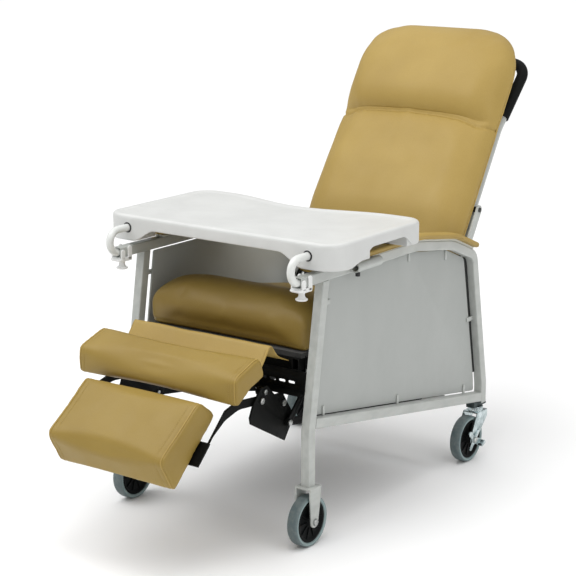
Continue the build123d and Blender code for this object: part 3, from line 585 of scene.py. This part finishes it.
def stretched_to(piece, origin, axis, low, high):
    """Scales a piece along one direction, so that it reaches from low to high millimetres along it."""
    axis = Vector(axis).normalized()
    reach = [(vertex.co - origin).dot(axis) for vertex in piece.data.vertices]
    least, most = min(reach), max(reach)
    for vertex, here in zip(piece.data.vertices, reach):
        share = (here - least) / (most - least)
        vertex.co += axis * ((low + (high - low) * share) * MM - here)


def finer(piece):
    """One subdivision, with smooth shading."""
    modifier = piece.modifiers.new("finer", "SUBSURF")
    modifier.levels = modifier.render_levels = 1
    settle(piece)
    all_smooth(piece)


def snapped(piece, line, lift=0.0, rounds=3, closed=False):
    """A line laid on a piece's surface, lifted off it by a distance in millimetres."""
    tree = BVHTree.FromObject(piece, bpy.context.evaluated_depsgraph_get())
    hits = [tree.find_nearest(point) for point in line]
    laid = [hit[0] + hit[1] * lift * MM for hit in hits]
    count = len(laid)
    for _ in range(rounds):
        ends = range(count) if closed else range(1, count - 1)
        eased = list(laid)
        for k in ends:
            eased[k] = laid[k] * 0.5 + (laid[k - 1] + laid[(k + 1) % count]) * 0.25
        laid = eased
    return laid


def beside(piece, line):
    """Each vertex with its normal and its distance in millimetres from a line's points."""
    tree = KDTree(len(line))
    for k, point in enumerate(line):
        tree.insert(point, k)
    tree.balance()
    return [(vertex, vertex.normal.copy(), tree.find(vertex.co)[2] / MM) for vertex in piece.data.vertices]


def grooved(piece, line, depth, width):
    """Presses a piece's surface in along a line, as a seam does."""
    piece.data.update()
    for vertex, normal, distance in beside(piece, line):
        if distance < 3 * width:
            vertex.co -= normal * depth * MM * exp(-(distance / width) ** 2)
    piece.data.update()


def creased(piece, line, depth, reach, scale, direction):
    """Small folds that fade away from a seam and run across it."""
    squeeze = Vector(direction)
    for vertex, normal, distance in beside(piece, line):
        if distance < 4 * reach:
            spot = Vector((vertex.co.x * squeeze.x, vertex.co.y * squeeze.y, vertex.co.z * squeeze.z)) * scale
            fold = noise.noise(spot) + 0.5 * noise.noise(spot * 2.3)
            vertex.co += normal * depth * MM * fold * exp(-(distance / reach))
    piece.data.update()


def stitches(name, line):
    """Thread along a seam: one short raised stitch after another."""
    points = resampled(line, 5.0 * MM, closed=False)
    made = []
    for a, b in zip(points, points[1:]):
        heading = (b - a).normalized()
        middle = (a + b) / 2
        half = heading * 3.2 * MM / 2
        made.append(tube_along("stitch", [middle - half, middle - half * 0.6, middle + half * 0.6, middle + half],
                               0.55 * MM, 5))
    return joined(made, name)


def welt(name, line, radius, body, closed=False):
    """A piped edge, covered like the cushion that it goes round."""
    piece = tube_along(name, line, radius * MM, 8, closed)
    all_smooth(piece)
    place(outward(piece), body, VINYL, "vinyl")


def thread(name, line, body):
    """A row of stitches that rides on a body."""
    place(stitches(name, line), body, VINYL, "vinyl")


def cover(piece, body, look, fill, *nodes):
    """Finishes a padded piece."""
    place(piece, body, look, "vinyl", *nodes)


# ---- seat cushion
SEAT_FALL = 0.07


def seat_base_z(y):
    """Height of the seat deck's top at a depth."""
    return 452 - SEAT_FALL * (y - 20) + 12.6


def make_seat():
    half = 244.0
    front, rear = 34.0, 596.0
    section = rounded([(front, seat_base_z(front)), (rear, seat_base_z(rear)), (rear, 462), (450, 492), (300, 530),
                       (112, 592), (front, 566)], [8, 8, 16, 60, 90, 90, 40])
    section = resampled(section, 8)
    middle = sum(p[0] for p in section) / len(section)
    rings = []
    # How tall and how deep the section is, at each distance from the cushion's end
    ends = ((0, 0.58, 0.975), (5, 0.72, 0.99), (16, 0.81, 0.997), (38, 0.885, 1.0), (75, 0.945, 1.0),
            (120, 0.985, 1.0))
    columns = [(-half + inset, tall, deep) for inset, tall, deep in ends]
    columns += [(half - inset, tall, deep) for inset, tall, deep in reversed(ends)]
    for x, tall, deep in columns:
        ring = []
        for y, z in section:
            base = seat_base_z(y)
            ring.append(at(x, middle + (y - middle) * deep, base + (z - base) * tall))
        rings.append(ring)
    piece = loft("seat_cushion_cover", rings)
    foot, slope = at(0, 20, 464.6), Vector((0, SEAT_FALL, 1)).normalized()
    stuffed(piece, 6.5, 7, floor=(foot, slope))
    smoothed(piece, 6)
    stretched_to(piece, Vector((0, 0, 0)), (1, 0, 0), -247.5, 247.5)
    stretched_to(piece, at(0, 0, 0), (0, 1, 0), 31, 599)
    stretched_to(piece, foot, slope, 0.2, 132)
    finer(piece)
    seam = [at(x, 36, seat_base_z(36) + 9) for x in range(-238, 239, 6)]
    seam = snapped(piece, seam)
    grooved(piece, seam, 2.0, 5)
    # The seat cushion wears the darker vinyl copy, painted shade for the shadow under the tray.
    cover(piece, "root", SEAT_VINYL_PAINTED_SHADE, 0.85, "seat_cushion")


make_seat()


# ---- back cushions
BACK_HALF = 249.0
BACK_LOW, BACK_HIGH = 2.0, 762.0
COVER_TOP = 782.0
SHOULDER = 150.0
# The seam between the two cushions, and the space kept free round the hinge line
SEAM_UP = 480.0
RELIEF = 24.0
# How thick the back is at each height, as a share of its thickest: fullest at the loins and the head
BACK_FULLNESS = ((2, 0.66), (110, 0.86), (210, 1.04), (300, 1.02), (400, 0.93), (470, 0.84), (540, 0.92), (610, 0.98),
                 (690, 0.95), (762, 0.82))


def fullness(up):
    """The back's thickness at a height, as a share of its thickest."""
    for (low, before), (high, after) in zip(BACK_FULLNESS, BACK_FULLNESS[1:]):
        if up <= high:
            return before + (after - before) * ease(up, low, high)
    return BACK_FULLNESS[-1][1]


def back_outline(inset=0.0):
    """The back's edge, seen square on: wide shoulders in large curves, smaller corners below."""
    half, low, high = BACK_HALF - inset, BACK_LOW + inset, BACK_HIGH - inset
    corners = ((-half, low), (half, low), (half, high), (-half, high))
    flat = rounded(corners, [40 - inset, 40 - inset, SHOULDER - inset, SHOULDER - inset], 12)
    return resampled(flat, 8)


def make_back():
    normal = (on_back(0, 0, 1) - on_back(0, 0, 0)).normalized()
    upward = (on_back(0, 1, 0) - on_back(0, 0, 0)).normalized()
    hinge = on_back(0, 0, 0)
    outline = back_outline()
    middle = (BACK_LOW + BACK_HIGH) / 2
    tall = (BACK_HIGH - BACK_LOW) / 2
    rings = []
    steps = ((1, 13), (0, 18), (0, 36), (3, 51), (11, 67), (26, 80), (50, 92), (90, 101), (130, 106), (170, 109),
             (205, 110), (232, 111), (245, 111))
    for inset, forward in steps:
        ring = []
        for x, up in outline:
            up = middle + (up - middle) * (1 - inset / tall)
            ring.append(on_back(x * (1 - inset / BACK_HALF), up, 13 + (forward - 13) * fullness(up)))
        rings.append(ring)
    piece = loft("back_cushion_cover", rings)

    def stapled(co):
        return (co - hinge).dot(normal) < 26 * MM

    stuffed(piece, 6.5, 7, pinned=stapled, floor=(on_back(0, 0, 13), normal))
    smoothed(piece, 16)
    for vertex in piece.data.vertices:
        across = vertex.co - at(vertex.co.x / MM, PIVOT_Y, PIVOT_Z)
        if across.length < RELIEF * MM:
            vertex.co += across.normalized() * (RELIEF * MM - across.length)
    # Headrest and lumbar part swell away from the seam between them, and the headrest hangs over it
    for vertex in piece.data.vertices:
        away = vertex.co - hinge
        up, forward = away.dot(upward) / MM, away.dot(normal) / MM
        front = ease(forward, 40, 78)
        above = up - SEAM_UP
        bow = 5 * (1 - (vertex.co.x / 0.25) ** 2)
        above -= bow
        if above >= 0:
            dip = 15 * exp(-(above / 20) ** 2) - 8 * exp(-((above - 60) / 45) ** 2)
            hang = 9 * exp(-((above - 12) / 18) ** 2)
        else:
            dip = 13 * exp(-(above / 26) ** 2)
            hang = 0.0
        side = ease(forward, 12, 45) * 2.5 * exp(-(above / 15) ** 2)
        vertex.co -= normal * dip * front * MM + upward * hang * front * MM
        vertex.co.x -= side * MM * (1 if vertex.co.x > 0 else -1) * ease(abs(vertex.co.x), 0.2, 0.24)
    smoothed(piece, 1)
    stretched_to(piece, Vector((0, 0, 0)), (1, 0, 0), -250.5, 250.5)
    stretched_to(piece, hinge, upward, BACK_LOW, COVER_TOP)
    finer(piece)
    seam = [on_back(-256, SEAM_UP + 2, forward) for forward in range(22, 66, 5)]
    seam += [on_back(x, SEAM_UP + 2 + 5 * (1 - (x / 250) ** 2), 88) for x in range(-240, 241, 5)]
    seam += [on_back(256, SEAM_UP + 2, forward) for forward in range(62, 18, -5)]
    seam = snapped(piece, seam)
    grooved(piece, seam, 5.0, 4.5)
    creased(piece, seam, 1.6, 24, 40, (1.0, 0.16, 0.16))
    cover(piece, "back", VINYL, 0.85, "back_cushion", "headrest_cushion")
    edge = [on_back(x, up, 17) for x, up in back_outline(-3)]
    edge = snapped(piece, resampled(edge, 6 * MM), 0.9, closed=True)
    welt("back_edge_piping", edge, 2.3, "back", closed=True)
    thread("headrest_stitching", snapped(piece, [point - upward * 9 * MM for point in seam], 0.2), "back")


make_back()


# ---- leg pads
def make_leg_pad(name, half, corners, radius, body, cap, stitch_at):
    """A boxed pad with a wrapped cover and separate end panels, piped along their seams."""
    ring = resampled(rounded(corners, radius), 6)
    middle = sum(ring, Vector((0, 0))) / len(ring)

    def shaped(inset):
        return [p + (middle - p).normalized() * inset for p in ring]

    rings = []
    for x, inset in ((-half + 3, 6), (-half + 5, 3), (-half + 12, 2), (half - 12, 2), (half - 5, 3), (half - 3, 6)):
        rings.append([at(x, y, z) for y, z in shaped(inset)])
    piece = loft(f"{name}_cover", rings)

    def at_seam(co):
        return abs(co.x) > (half - 11) * MM and any(
            hypot((co.y - AXLE_Y) / MM - y, co.z / MM - z) < 9 for y, z in ring[::2])

    stuffed(piece, 5, cap, pinned=at_seam)
    smoothed(piece, 1)
    face = (Vector(corners[1]) - Vector(corners[0])).normalized()
    across = Vector((-face[1], face[0]))
    for axis, grown in ((face, 3.5), (across, 1.0)):
        reach = [Vector(c).dot(axis) for c in corners]
        direction = Vector((0, axis[0], axis[1]))
        stretched_to(piece, at(0, 0, 0), direction, min(reach) - grown, max(reach) + grown)
    stretched_to(piece, at(0, 0, 0), (1, 0, 0), -half - 3, half + 3)
    finer(piece)
    seams = []
    for sign in (-1, 1):
        seam = [at(sign * (half - 5), y, z) for y, z in resampled(shaped(1), 4)]
        seam = snapped(piece, seam, closed=True)
        grooved(piece, seam, 1.6, 4)
        creased(piece, seam, 1.5, 22, 42, (0.25, 1.0, 1.0))
        row = [at(sign * (half - stitch_at), y, z) for y, z in resampled(shaped(1), 4)]
        row = snapped(piece, row, closed=True)
        grooved(piece, row, 0.7, 3)
        seams.append((sign, seam, row))
    # The leg pads wear the darker vinyl copy, painted shade; their piping and stitching keep the plain vinyl.
    cover(piece, body, LEG_VINYL_PAINTED_SHADE, 0.8, name, name.replace("pad", "board"))
    for sign, seam, row in seams:
        tag = "left" if sign > 0 else "right"
        welt(f"{name}_{tag}_piping", snapped(piece, seam, 0.7, closed=True), 1.7, body, closed=True)
        thread(f"{name}_{tag}_stitching", snapped(piece, row, 0.25, closed=True), body)


make_leg_pad("lower_leg_pad", 175, [(-279, 412), (-417, 309), (-366, 222), (-220, 365)], [14, 16, 6, 6],
             "lower_leg_rest", 6, 22)
make_leg_pad("upper_leg_pad", 240.5, [(-226, 469), (-136, 500), (-115, 447), (-166, 428), (-221, 394)],
             [20, 12, 6, 20, 8], "upper_leg_rest", 6, 20)


# ---- flap between the seat and the leg rest
def make_flap():
    """A folded sheet from under the seat to inside the upper leg pad, hemmed on both sides."""
    corners = [Vector(c) for c in ((-132, 453), (-90, 452), (-53, 501), (-26, 466), (18, 446))]
    line = [corners[0]]
    for before, here, after in zip(corners, corners[1:], corners[2:]):
        start = here + (before - here).normalized() * 9
        stop = here + (after - here).normalized() * 9
        line += bend(start, here, stop, 4)
    line.append(corners[-1])
    line = resampled(line, 5, closed=False)
    columns = range(-210, 211, 5)
    verts, count = [], len(line)
    for x in columns:
        for k, (y, z) in enumerate(line):
            loose = sin(pi * k / (count - 1))
            wave = 1.6 * noise.noise(Vector((x * 0.011, k * 0.05, 3.1))) * loose
            verts.append(at(x, y + wave, z + wave * 0.8))
    faces = []
    for column in range(len(columns) - 1):
        for k in range(count - 1):
            first = column * count + k
            faces.append((first, first + 1, first + count + 1, first + count))
    piece = new_piece("leg_rest_flap", verts, faces)
    length = sum((b - a).length for a, b in zip(line, line[1:]))
    solid = piece.modifiers.new("thick", "SOLIDIFY")
    solid.thickness = 1.6 * MM
    solid.offset = 0.0
    settle(piece)
    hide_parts("leg_flap")
    hems, pad_rear = [], -116
    for sign in (-1, 1):
        hem = snapped(piece, [at(sign * 203, y, z) for y, z in line if y > pad_rear], 0.3)
        hems.append(stitches(f"flap_stitching_{'left' if sign > 0 else 'right'}", hem))
    for each in (piece, *hems):
        dress(each, VINYL)
        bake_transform(each)


make_flap()


# ---- arm pads
ARM_Z = 656.3
ARM_LINE = [(0, 656.3), (457, 656.3), (640, 627), (754.4, 580)]


def above_arm(height, start, stop, gap):
    """Points of a line that runs along the arm at a height above its centre."""
    corners = [(start, ARM_Z + height)]
    for before, here, after in zip(ARM_LINE, ARM_LINE[1:], ARM_LINE[2:]):
        turn_in = atan2(here[1] - before[1], here[0] - before[0])
        turn_out = atan2(after[1] - here[1], after[0] - here[0])
        bisector = (turn_in + turn_out) / 2
        reach = height / cos((turn_out - turn_in) / 2)
        corners.append((here[0] - reach * sin(bisector), here[1] + reach * cos(bisector)))
    slope = (ARM_LINE[3][1] - ARM_LINE[2][1]) / (ARM_LINE[3][0] - ARM_LINE[2][0])
    corners.append((stop, corners[-1][1] + slope * (stop - corners[-1][0])))
    corners = [Vector(c) for c in corners]
    line = [corners[0]]
    for before, here, after, radius in zip(corners, corners[1:], corners[2:], (300, 200)):
        half = (before - here).angle(after - here) / 2
        reach = radius * cos(half) / sin(half)
        first = here + (before - here).normalized() * reach
        last = here + (after - here).normalized() * reach
        line += bend(first, here, last, 8)
    line.append(corners[-1])
    return resampled(line, gap, closed=False)


def make_arm_pads():
    line = above_arm(12.7 + 5.3 + 7.0, 115, 752, 6.0)
    count = len(line)
    for side, sign in SIDES:
        middle_x = sign * (262.5 + 306) / 2
        rings = []
        for k, point in enumerate(line):
            before, after = line[max(k - 1, 0)], line[min(k + 1, count - 1)]
            heading = (after - before).normalized()
            upward = Vector((-heading[1], heading[0]))
            end = min(k, count - 1 - k) * 6.0
            shrink = 1 - 0.32 * max(0.0, 1 - end / 7.0) ** 2
            ring = []
            for s in range(28):
                angle = 2 * pi * s / 28
                c, d = cos(angle), sin(angle)
                wide = 21.6 * (abs(c) ** 0.42) * (1 if c > 0 else -1) * shrink
                tall = (abs(d) ** 0.55) * (1 if d > 0 else -1)
                tall = tall * 7.0 * (shrink if tall > 0 else 1.0)
                crown = 1.3 * max(0.0, 1 - (wide / 21.6) ** 2) if tall > 0 else 0.0
                spot = point + upward * (tall + crown)
                ring.append(at(middle_x + wide, spot[0], spot[1]))
            rings.append(ring)
        piece = outward(loft(f"{side}_arm_pad_cover", rings))
        finer(piece)
        cover(piece, "root", VINYL, 0.9, f"{side}_arm_pad")
        for edge_sign in (-1, 1):
            run = snapped(piece, [at(middle_x + edge_sign * 22.0, y, z - 4.6) for y, z in line[2:-2]], 0.3)
            tag = "outer" if edge_sign == sign else "inner"
            welt(f"{side}_arm_pad_{tag}_piping", run, 1.3, "root")


make_arm_pads()


# ---- tray
TRAY_TOP = 745.0


def tray_outline():
    """The tray's edge from above: a rounded rectangle with a shallow cut for the sitter."""
    def corner(x, y, start):
        return [Vector((x, y)) + Vector((cos(radians(a)), sin(radians(a)))) * 55 for a in range(start, start + 91, 6)]

    line = [Vector((-300, 0)), Vector((300, 0)), *corner(300, 55, -90), *corner(300, 345, 0)]
    line += [Vector((x, 400 - 25 * (1 + cos(pi * x / 262)))) for x in range(260, -261, -10)]
    return resampled(line + corner(-300, 345, 90) + corner(-300, 55, 180), 6.0)


def inset_line(line, distance):
    count = len(line)
    made = []
    for k, point in enumerate(line):
        heading = (line[(k + 1) % count] - line[k - 1]).normalized()
        made.append(point + Vector((-heading[1], heading[0])) * distance)
    return made


def skirt_foot(x, y):
    """How low the tray's skirt reaches: deep at the corners, arched along the front and the sides."""
    corner = ease(abs(x), 190, 262) * max(1 - ease(y, 104, 165), ease(y, 292, 340))
    arch = 712 + 5 * ease(abs(x), 300, 350)
    low = 680 + 9.6 * ease(y, 66, 108)
    return arch + (low - arch) * corner


def make_tray():
    outline = tray_outline()
    steps = [(30, -2.6, None), (26, -2.5, None), (22, -1.7, None), (18.5, -0.5, None), (14.5, 0.0, None),
             (9, -0.1, None), (5.2, -0.8, None), (2.4, -2.6, None), (0.7, -5.4, None), (0.05, -9, None),
             (0, -14, None), (0, None, 4.0), (0.25, None, 1.6), (1.2, None, 0.3), (2.6, None, 0.0),
             (4.0, None, 0.4), (5.0, None, 2.2), (5.4, -12, None), (8, -6, None)]
    rings = []
    for inset, below_top, above_foot in steps:
        ring = []
        for (x, y), (ox, oy) in zip(inset_line(outline, inset), outline):
            z = TRAY_TOP + below_top if below_top is not None else skirt_foot(ox, oy) + above_foot
            ring.append(at(x, y, z))
        rings.append(ring)
    shell = outward(loft("tray_shell", rings))
    for polygon in shell.data.polygons:
        if len(polygon.vertices) > 4:
            polygon.use_smooth = False
    bosses = []
    for sign in (-1, 1):
        for near in (True, False):
            edge = [p for p in inset_line(outline, 3.0) if p[0] * sign > 250 and (p[1] < 150 if near else p[1] > 310)]
            edge = resampled(edge, 8, closed=False)
            inner = Vector((250 * sign, 150 if near else 310))
            bosses.append(prism("boss", [*edge, inner], at, 689.9, 741, 2.0))
        nose = rounded([(sign * x, y) for x, y in ((252, 4), (318, 4), (318, 84), (252, 84))], 12)
        bosses.append(prism("nose", nose, at, 680.5, 741, 2.0))
    tray = joined([shell, *bosses], "tray_shell")
    place(tray, "tray_table", TRAY_WHITE, "tray_plastic", "tray")
    # Black rings round the hook sockets: liners in part, and painted shade standing in for the dark recess round each
    # hook.
    grommets_and_socket_shade = []
    for sign in (-1, 1):
        profile = [(9.6, 6), (9.6, -1.2), (10.6, -2.0), (12.4, -1.4), (13.6, 0.4), (13.8, 3)]
        rings = []
        for step in range(40):
            angle = 2 * pi * step / 40
            rings.append([at(sign * TUBE_X + r * cos(angle), y, 713 + r * sin(angle)) for r, y in profile])
        rings.append(rings[0])
        grommets_and_socket_shade.append(outward(loft("grommet", rings, closed=False, caps=False)))
    place(joined(grommets_and_socket_shade, "tray_hook_grommets"), "tray_table", BLACK_PLASTIC, "black_plastic")


make_tray()


# ---- tray clamps
def make_clamps():
    """A saddle under each arm, with two upright fingers on either side of it and a wide lip in front."""
    for side, sign in SIDES:
        x = sign * TUBE_X

        def from_above(u, v, depth):
            return at(x + u, v, depth)

        def from_side(u, v, depth):
            return at(x + depth, u, v)

        base = rounded(((-17.4, -44), (17.4, -44), (17.4, -2), (-17.4, -2)), 6)
        lip = rounded(((-18, -50), (18, -50), (18, -24), (-18, -24)), 9)
        parts = [prism("saddle", base, from_above, 633, 643.2, 1.8), prism("lip", lip, from_above, 636, 640.5, 1.5)]
        for first in (-17.4, 13.0):
            for middle, tall in ((-35.5, 664.0), (-10.5, 671.0)):
                finger = [(middle - 7, 636), (middle + 7, 636), (middle + 7, tall - 7)]
                finger += [(middle + 7 * cos(radians(a)), tall - 7 + 7 * sin(radians(a))) for a in range(15, 166, 15)]
                finger += [(middle - 7, tall - 7)]
                parts.append(prism("finger", finger, from_side, first, first + 4.4, 1.3))
        place(joined(parts, f"{side}_clamp_body"), "root", CLAMP_WHITE, "clamp_white")
    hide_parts("tray_clamps")


make_clamps()


# ---- edging of the side panels, with painted shade in the gap behind them
def make_edging_and_gap_shade():
    """A black strip in the gap between each panel's rear edge and the rear leg: black edge trim in part, and painted
    shade for the shadowed gap.
    """
    strip = [(730, 574), (741, 572), (752, 552), (803, 240), (789, 240), (735, 560)]
    for side, sign in SIDES:
        piece = prism(f"{side}_panel_edging_and_gap_shade", strip, lambda u, v, depth: at(sign * depth, u, v), 266.5, 268.5, 0.3)
        place(piece, "root", BLACK_PLASTIC, "black_plastic")


make_edging_and_gap_shade()


# ---- painted shade under the front of the seat
def make_seat_front_shade_sheet():
    """A black sheet under the front of the seat: painted shade that darkens the space there, which lies in shadow."""
    outline = rounded(((-236, 404), (-210, 398), (210, 398), (236, 404), (236, 458), (-236, 458)), 8)
    piece = prism("seat_front_shade_sheet", outline, lambda u, v, depth: at(u, depth, v), 50, 53, 0.8)
    place(piece, "root", BLACK_STEEL, "black_steel")


make_seat_front_shade_sheet()


# ---- wheels
def turned(name, profile, x, depth, steps=96):
    """A skin of revolution about a wheel's axle. profile is a closed line of (across, radius)."""
    rings = []
    for step in range(steps):
        angle = 2 * pi * step / steps
        rings.append([at(x + across, depth + radius * cos(angle), WHEEL_RADIUS + radius * sin(angle))
                      for across, radius in profile])
    rings.append(rings[0])
    piece = loft(name, rings, caps=False)
    mesh = opened(piece)
    bmesh.ops.remove_doubles(mesh, verts=mesh.verts, dist=1e-6)
    return shut(piece, mesh)


def make_wheel(side, sign, where, depth):
    x = sign * TUBE_X
    body = f"{side}_{where}_wheel"
    rubber = [(-11.5, 51.5), (-13.2, 53.0), (-14.6, 55.2), (-15.5, 58.0), (-15.1, 60.4), (-13.2, 62.0), (-9.5, 63.1),
              (-4.5, 63.45), (0, 63.5), (4.5, 63.45), (9.5, 63.1), (13.2, 62.0), (15.1, 60.4), (15.5, 58.0),
              (14.6, 55.2), (13.2, 53.0), (11.5, 51.5)]
    tyre = turned(f"{side}_{where}_tyre_tread", rubber, x, depth)
    place(tyre, body, TYRES[where], "tyre_grey", f"{side}_{where}_tyre")
    half = [(18.0, 5.2), (18.0, 11.5), (17.2, 12.8), (11.0, 14.2), (8.6, 17.5), (8.2, 26.0), (8.8, 40.0),
            (9.6, 44.0), (12.4, 46.2), (12.9, 48.0), (12.9, 52.2), (11.4, 52.6)]
    disc = [(across, radius) for across, radius in half] + [(-across, radius) for across, radius in reversed(half)]
    parts = [turned("disc", disc, x, depth)]
    for face in (-1, 1):
        for spoke in range(10):
            angle = 2 * pi * spoke / 10
            heading, across = (cos(angle), sin(angle)), (-sin(angle), cos(angle))

            def placed(u, v, out):
                return at(x + face * out, depth + heading[0] * u + across[0] * v,
                          WHEEL_RADIUS + heading[1] * u + across[1] * v)

            rib = [(13.5, -1.5), (45.5, -1.1), (45.5, 1.1), (13.5, 1.5)]
            parts.append(prism("rib", rib, placed, 7.5, 11.2, 0.4))
    place(joined(parts, f"{side}_{where}_hub_disc"), body, HUB_BLACK, "hub_black", f"{side}_{where}_hub")


for side, sign in SIDES:
    make_wheel(side, sign, "front", 0)
    make_wheel(side, sign, "rear", REAR_AXLE)


def make_brake(side, sign):
    """A pressed brake lever outside the rear fork: three arms round the axle and a rolled foot pedal."""
    x = sign * (TUBE_X + 23.2)

    def placed(u, v, out):
        return at(x + sign * out, REAR_AXLE + u, WHEEL_RADIUS + v)

    parts = []
    for tip, wide_in, wide_out in (((-21, 22), 9, 7), ((-17, -21), 9, 6.5), ((24, 19), 8, 5), ((30, -14), 10, 10)):
        heading = Vector(tip).normalized()
        across = Vector((-heading[1], heading[0]))
        length = Vector(tip).length
        arm = [across * wide_in * 0.8, across * -wide_in * 0.8, heading * length - across * wide_out]
        arm += [heading * (length + wide_out * sin(radians(a))) - across * wide_out * cos(radians(a))
                for a in range(30, 151, 30)]
        arm += [heading * length + across * wide_out]
        parts.append(prism("arm", arm, placed, 0.2, 3.6, 0.7))
    ring = [(13 * cos(2 * pi * k / 24), 13 * sin(2 * pi * k / 24)) for k in range(24)]
    parts.append(prism("boss", ring, placed, 0, 4.4, 0.9))
    pedal = rounded(((20, -24), (39, -16), (36, -6), (18, -13)), 4)
    parts.append(prism("pedal", pedal, placed, 3, 17.5, 1.4))
    place(joined(parts, f"{side}_brake_pedal"), f"{side}_brake", CHROME, "caster_chrome", f"{side}_brake_lever")


for side, sign in SIDES:
    make_brake(side, sign)


# ---- hard parts that keep their CAD shape
for hard_node, edge_width in (("left_side_panel", 0.9), ("right_side_panel", 0.9), ("mechanism_plates", 0.7),
                              ("mechanism_braces", 0.6), ("front_cross_angle", 0.5), ("front_forks", 0.8),
                              ("left_caster_fork", 0.6), ("right_caster_fork", 0.6), ("back_link_bars", 0.8),
                              ("mechanism_bolts", 0.6), ("front_axles", 0.6), ("left_caster_axle", 0.6),
                              ("right_caster_axle", 0.6), ("back_link_bolts", 0.5), ("back_hinge_brackets", 0.7),
                              ("panel_clips", 0.6), ("socket_screws", 0.6)):
    softened(hard_node, edge_width)
softened("caster_mounts", 0.7, DARK_STEEL)


# ---- studio
def make_studio():
    scene = bpy.context.scene
    scene.view_settings.view_transform = "Standard"
    world = bpy.data.worlds.new("studio")
    scene.world = world
    world.use_nodes = True
    tree = world.node_tree
    sky = tree.nodes["Background"]
    heading = tree.nodes.new("ShaderNodeTexCoord").outputs["Generated"]
    parts = tree.nodes.new("ShaderNodeSeparateXYZ")
    tree.links.new(heading, parts.inputs[0])
    height = tree.nodes.new("ShaderNodeMapRange")
    for key, value in (("From Min", 0.05), ("From Max", 1.0), ("To Min", 0.18), ("To Max", 1.3)):
        height.inputs[key].default_value = value
    tree.links.new(parts.outputs["Z"], height.inputs["Value"])
    tree.links.new(height.outputs["Result"], sky.inputs["Strength"])
    sky.inputs["Color"].default_value = (1.0, 1.0, 1.0, 1.0)
    wide = 120.0
    floor = new_piece("floor", [Vector((sx * wide, sy * wide, 0)) for sx, sy in ((-1, -1), (1, -1), (1, 1), (-1, 1))],
                      [(0, 1, 2, 3)], smooth=False)
    look = Look("floor_white", Specular_IOR_Level=0.1)
    haze = look.noise(0.8, 2.0)
    dress(floor, look.wear(look.ramp(haze, (0.3, srgb(250, 250, 250)), (0.7, srgb(251, 251, 251))),
                           look.spread(haze, 0.3, 0.7, 0.85, 0.9)))

    def lamp(name, kind, energy, spot, aim, **settings):
        data = bpy.data.lights.new(name, kind)
        data.energy = energy
        for key, value in settings.items():
            setattr(data, key, value)
        made = bpy.data.objects.new(name, data)
        scene.collection.objects.link(made)
        made.location = spot
        made.rotation_euler = Vector(aim).to_track_quat("-Z", "Y").to_euler()

    def softbox(name, power, size, spot, target, diffuse=1.0):
        lamp(name, "AREA", power, spot, Vector(target) - Vector(spot), shape="RECTANGLE", size=size[0],
             size_y=size[1], diffuse_factor=diffuse)

    lamp("key", "SUN", 0.55, (0, 0, 0), (0.22, 0.40, -0.88), angle=radians(60))
    lamp("side", "SUN", 0.1, (0, 0, 0), (-0.8, 0.35, -0.45), angle=radians(60))
    softbox("head_box", 9, (0.8, 0.8), (0.3, -0.9, 2.3), (0, 0.4, 0.95))
    softbox("right_box", 16, (1.6, 2.4), (3.4, -0.4, 1.9), (0, 0.2, 0.6), 0.4)
    softbox("left_box", 26, (2.0, 2.6), (-2.0, -1.3, 3.1), (0, -0.1, 0.7), 0.5)


make_studio()
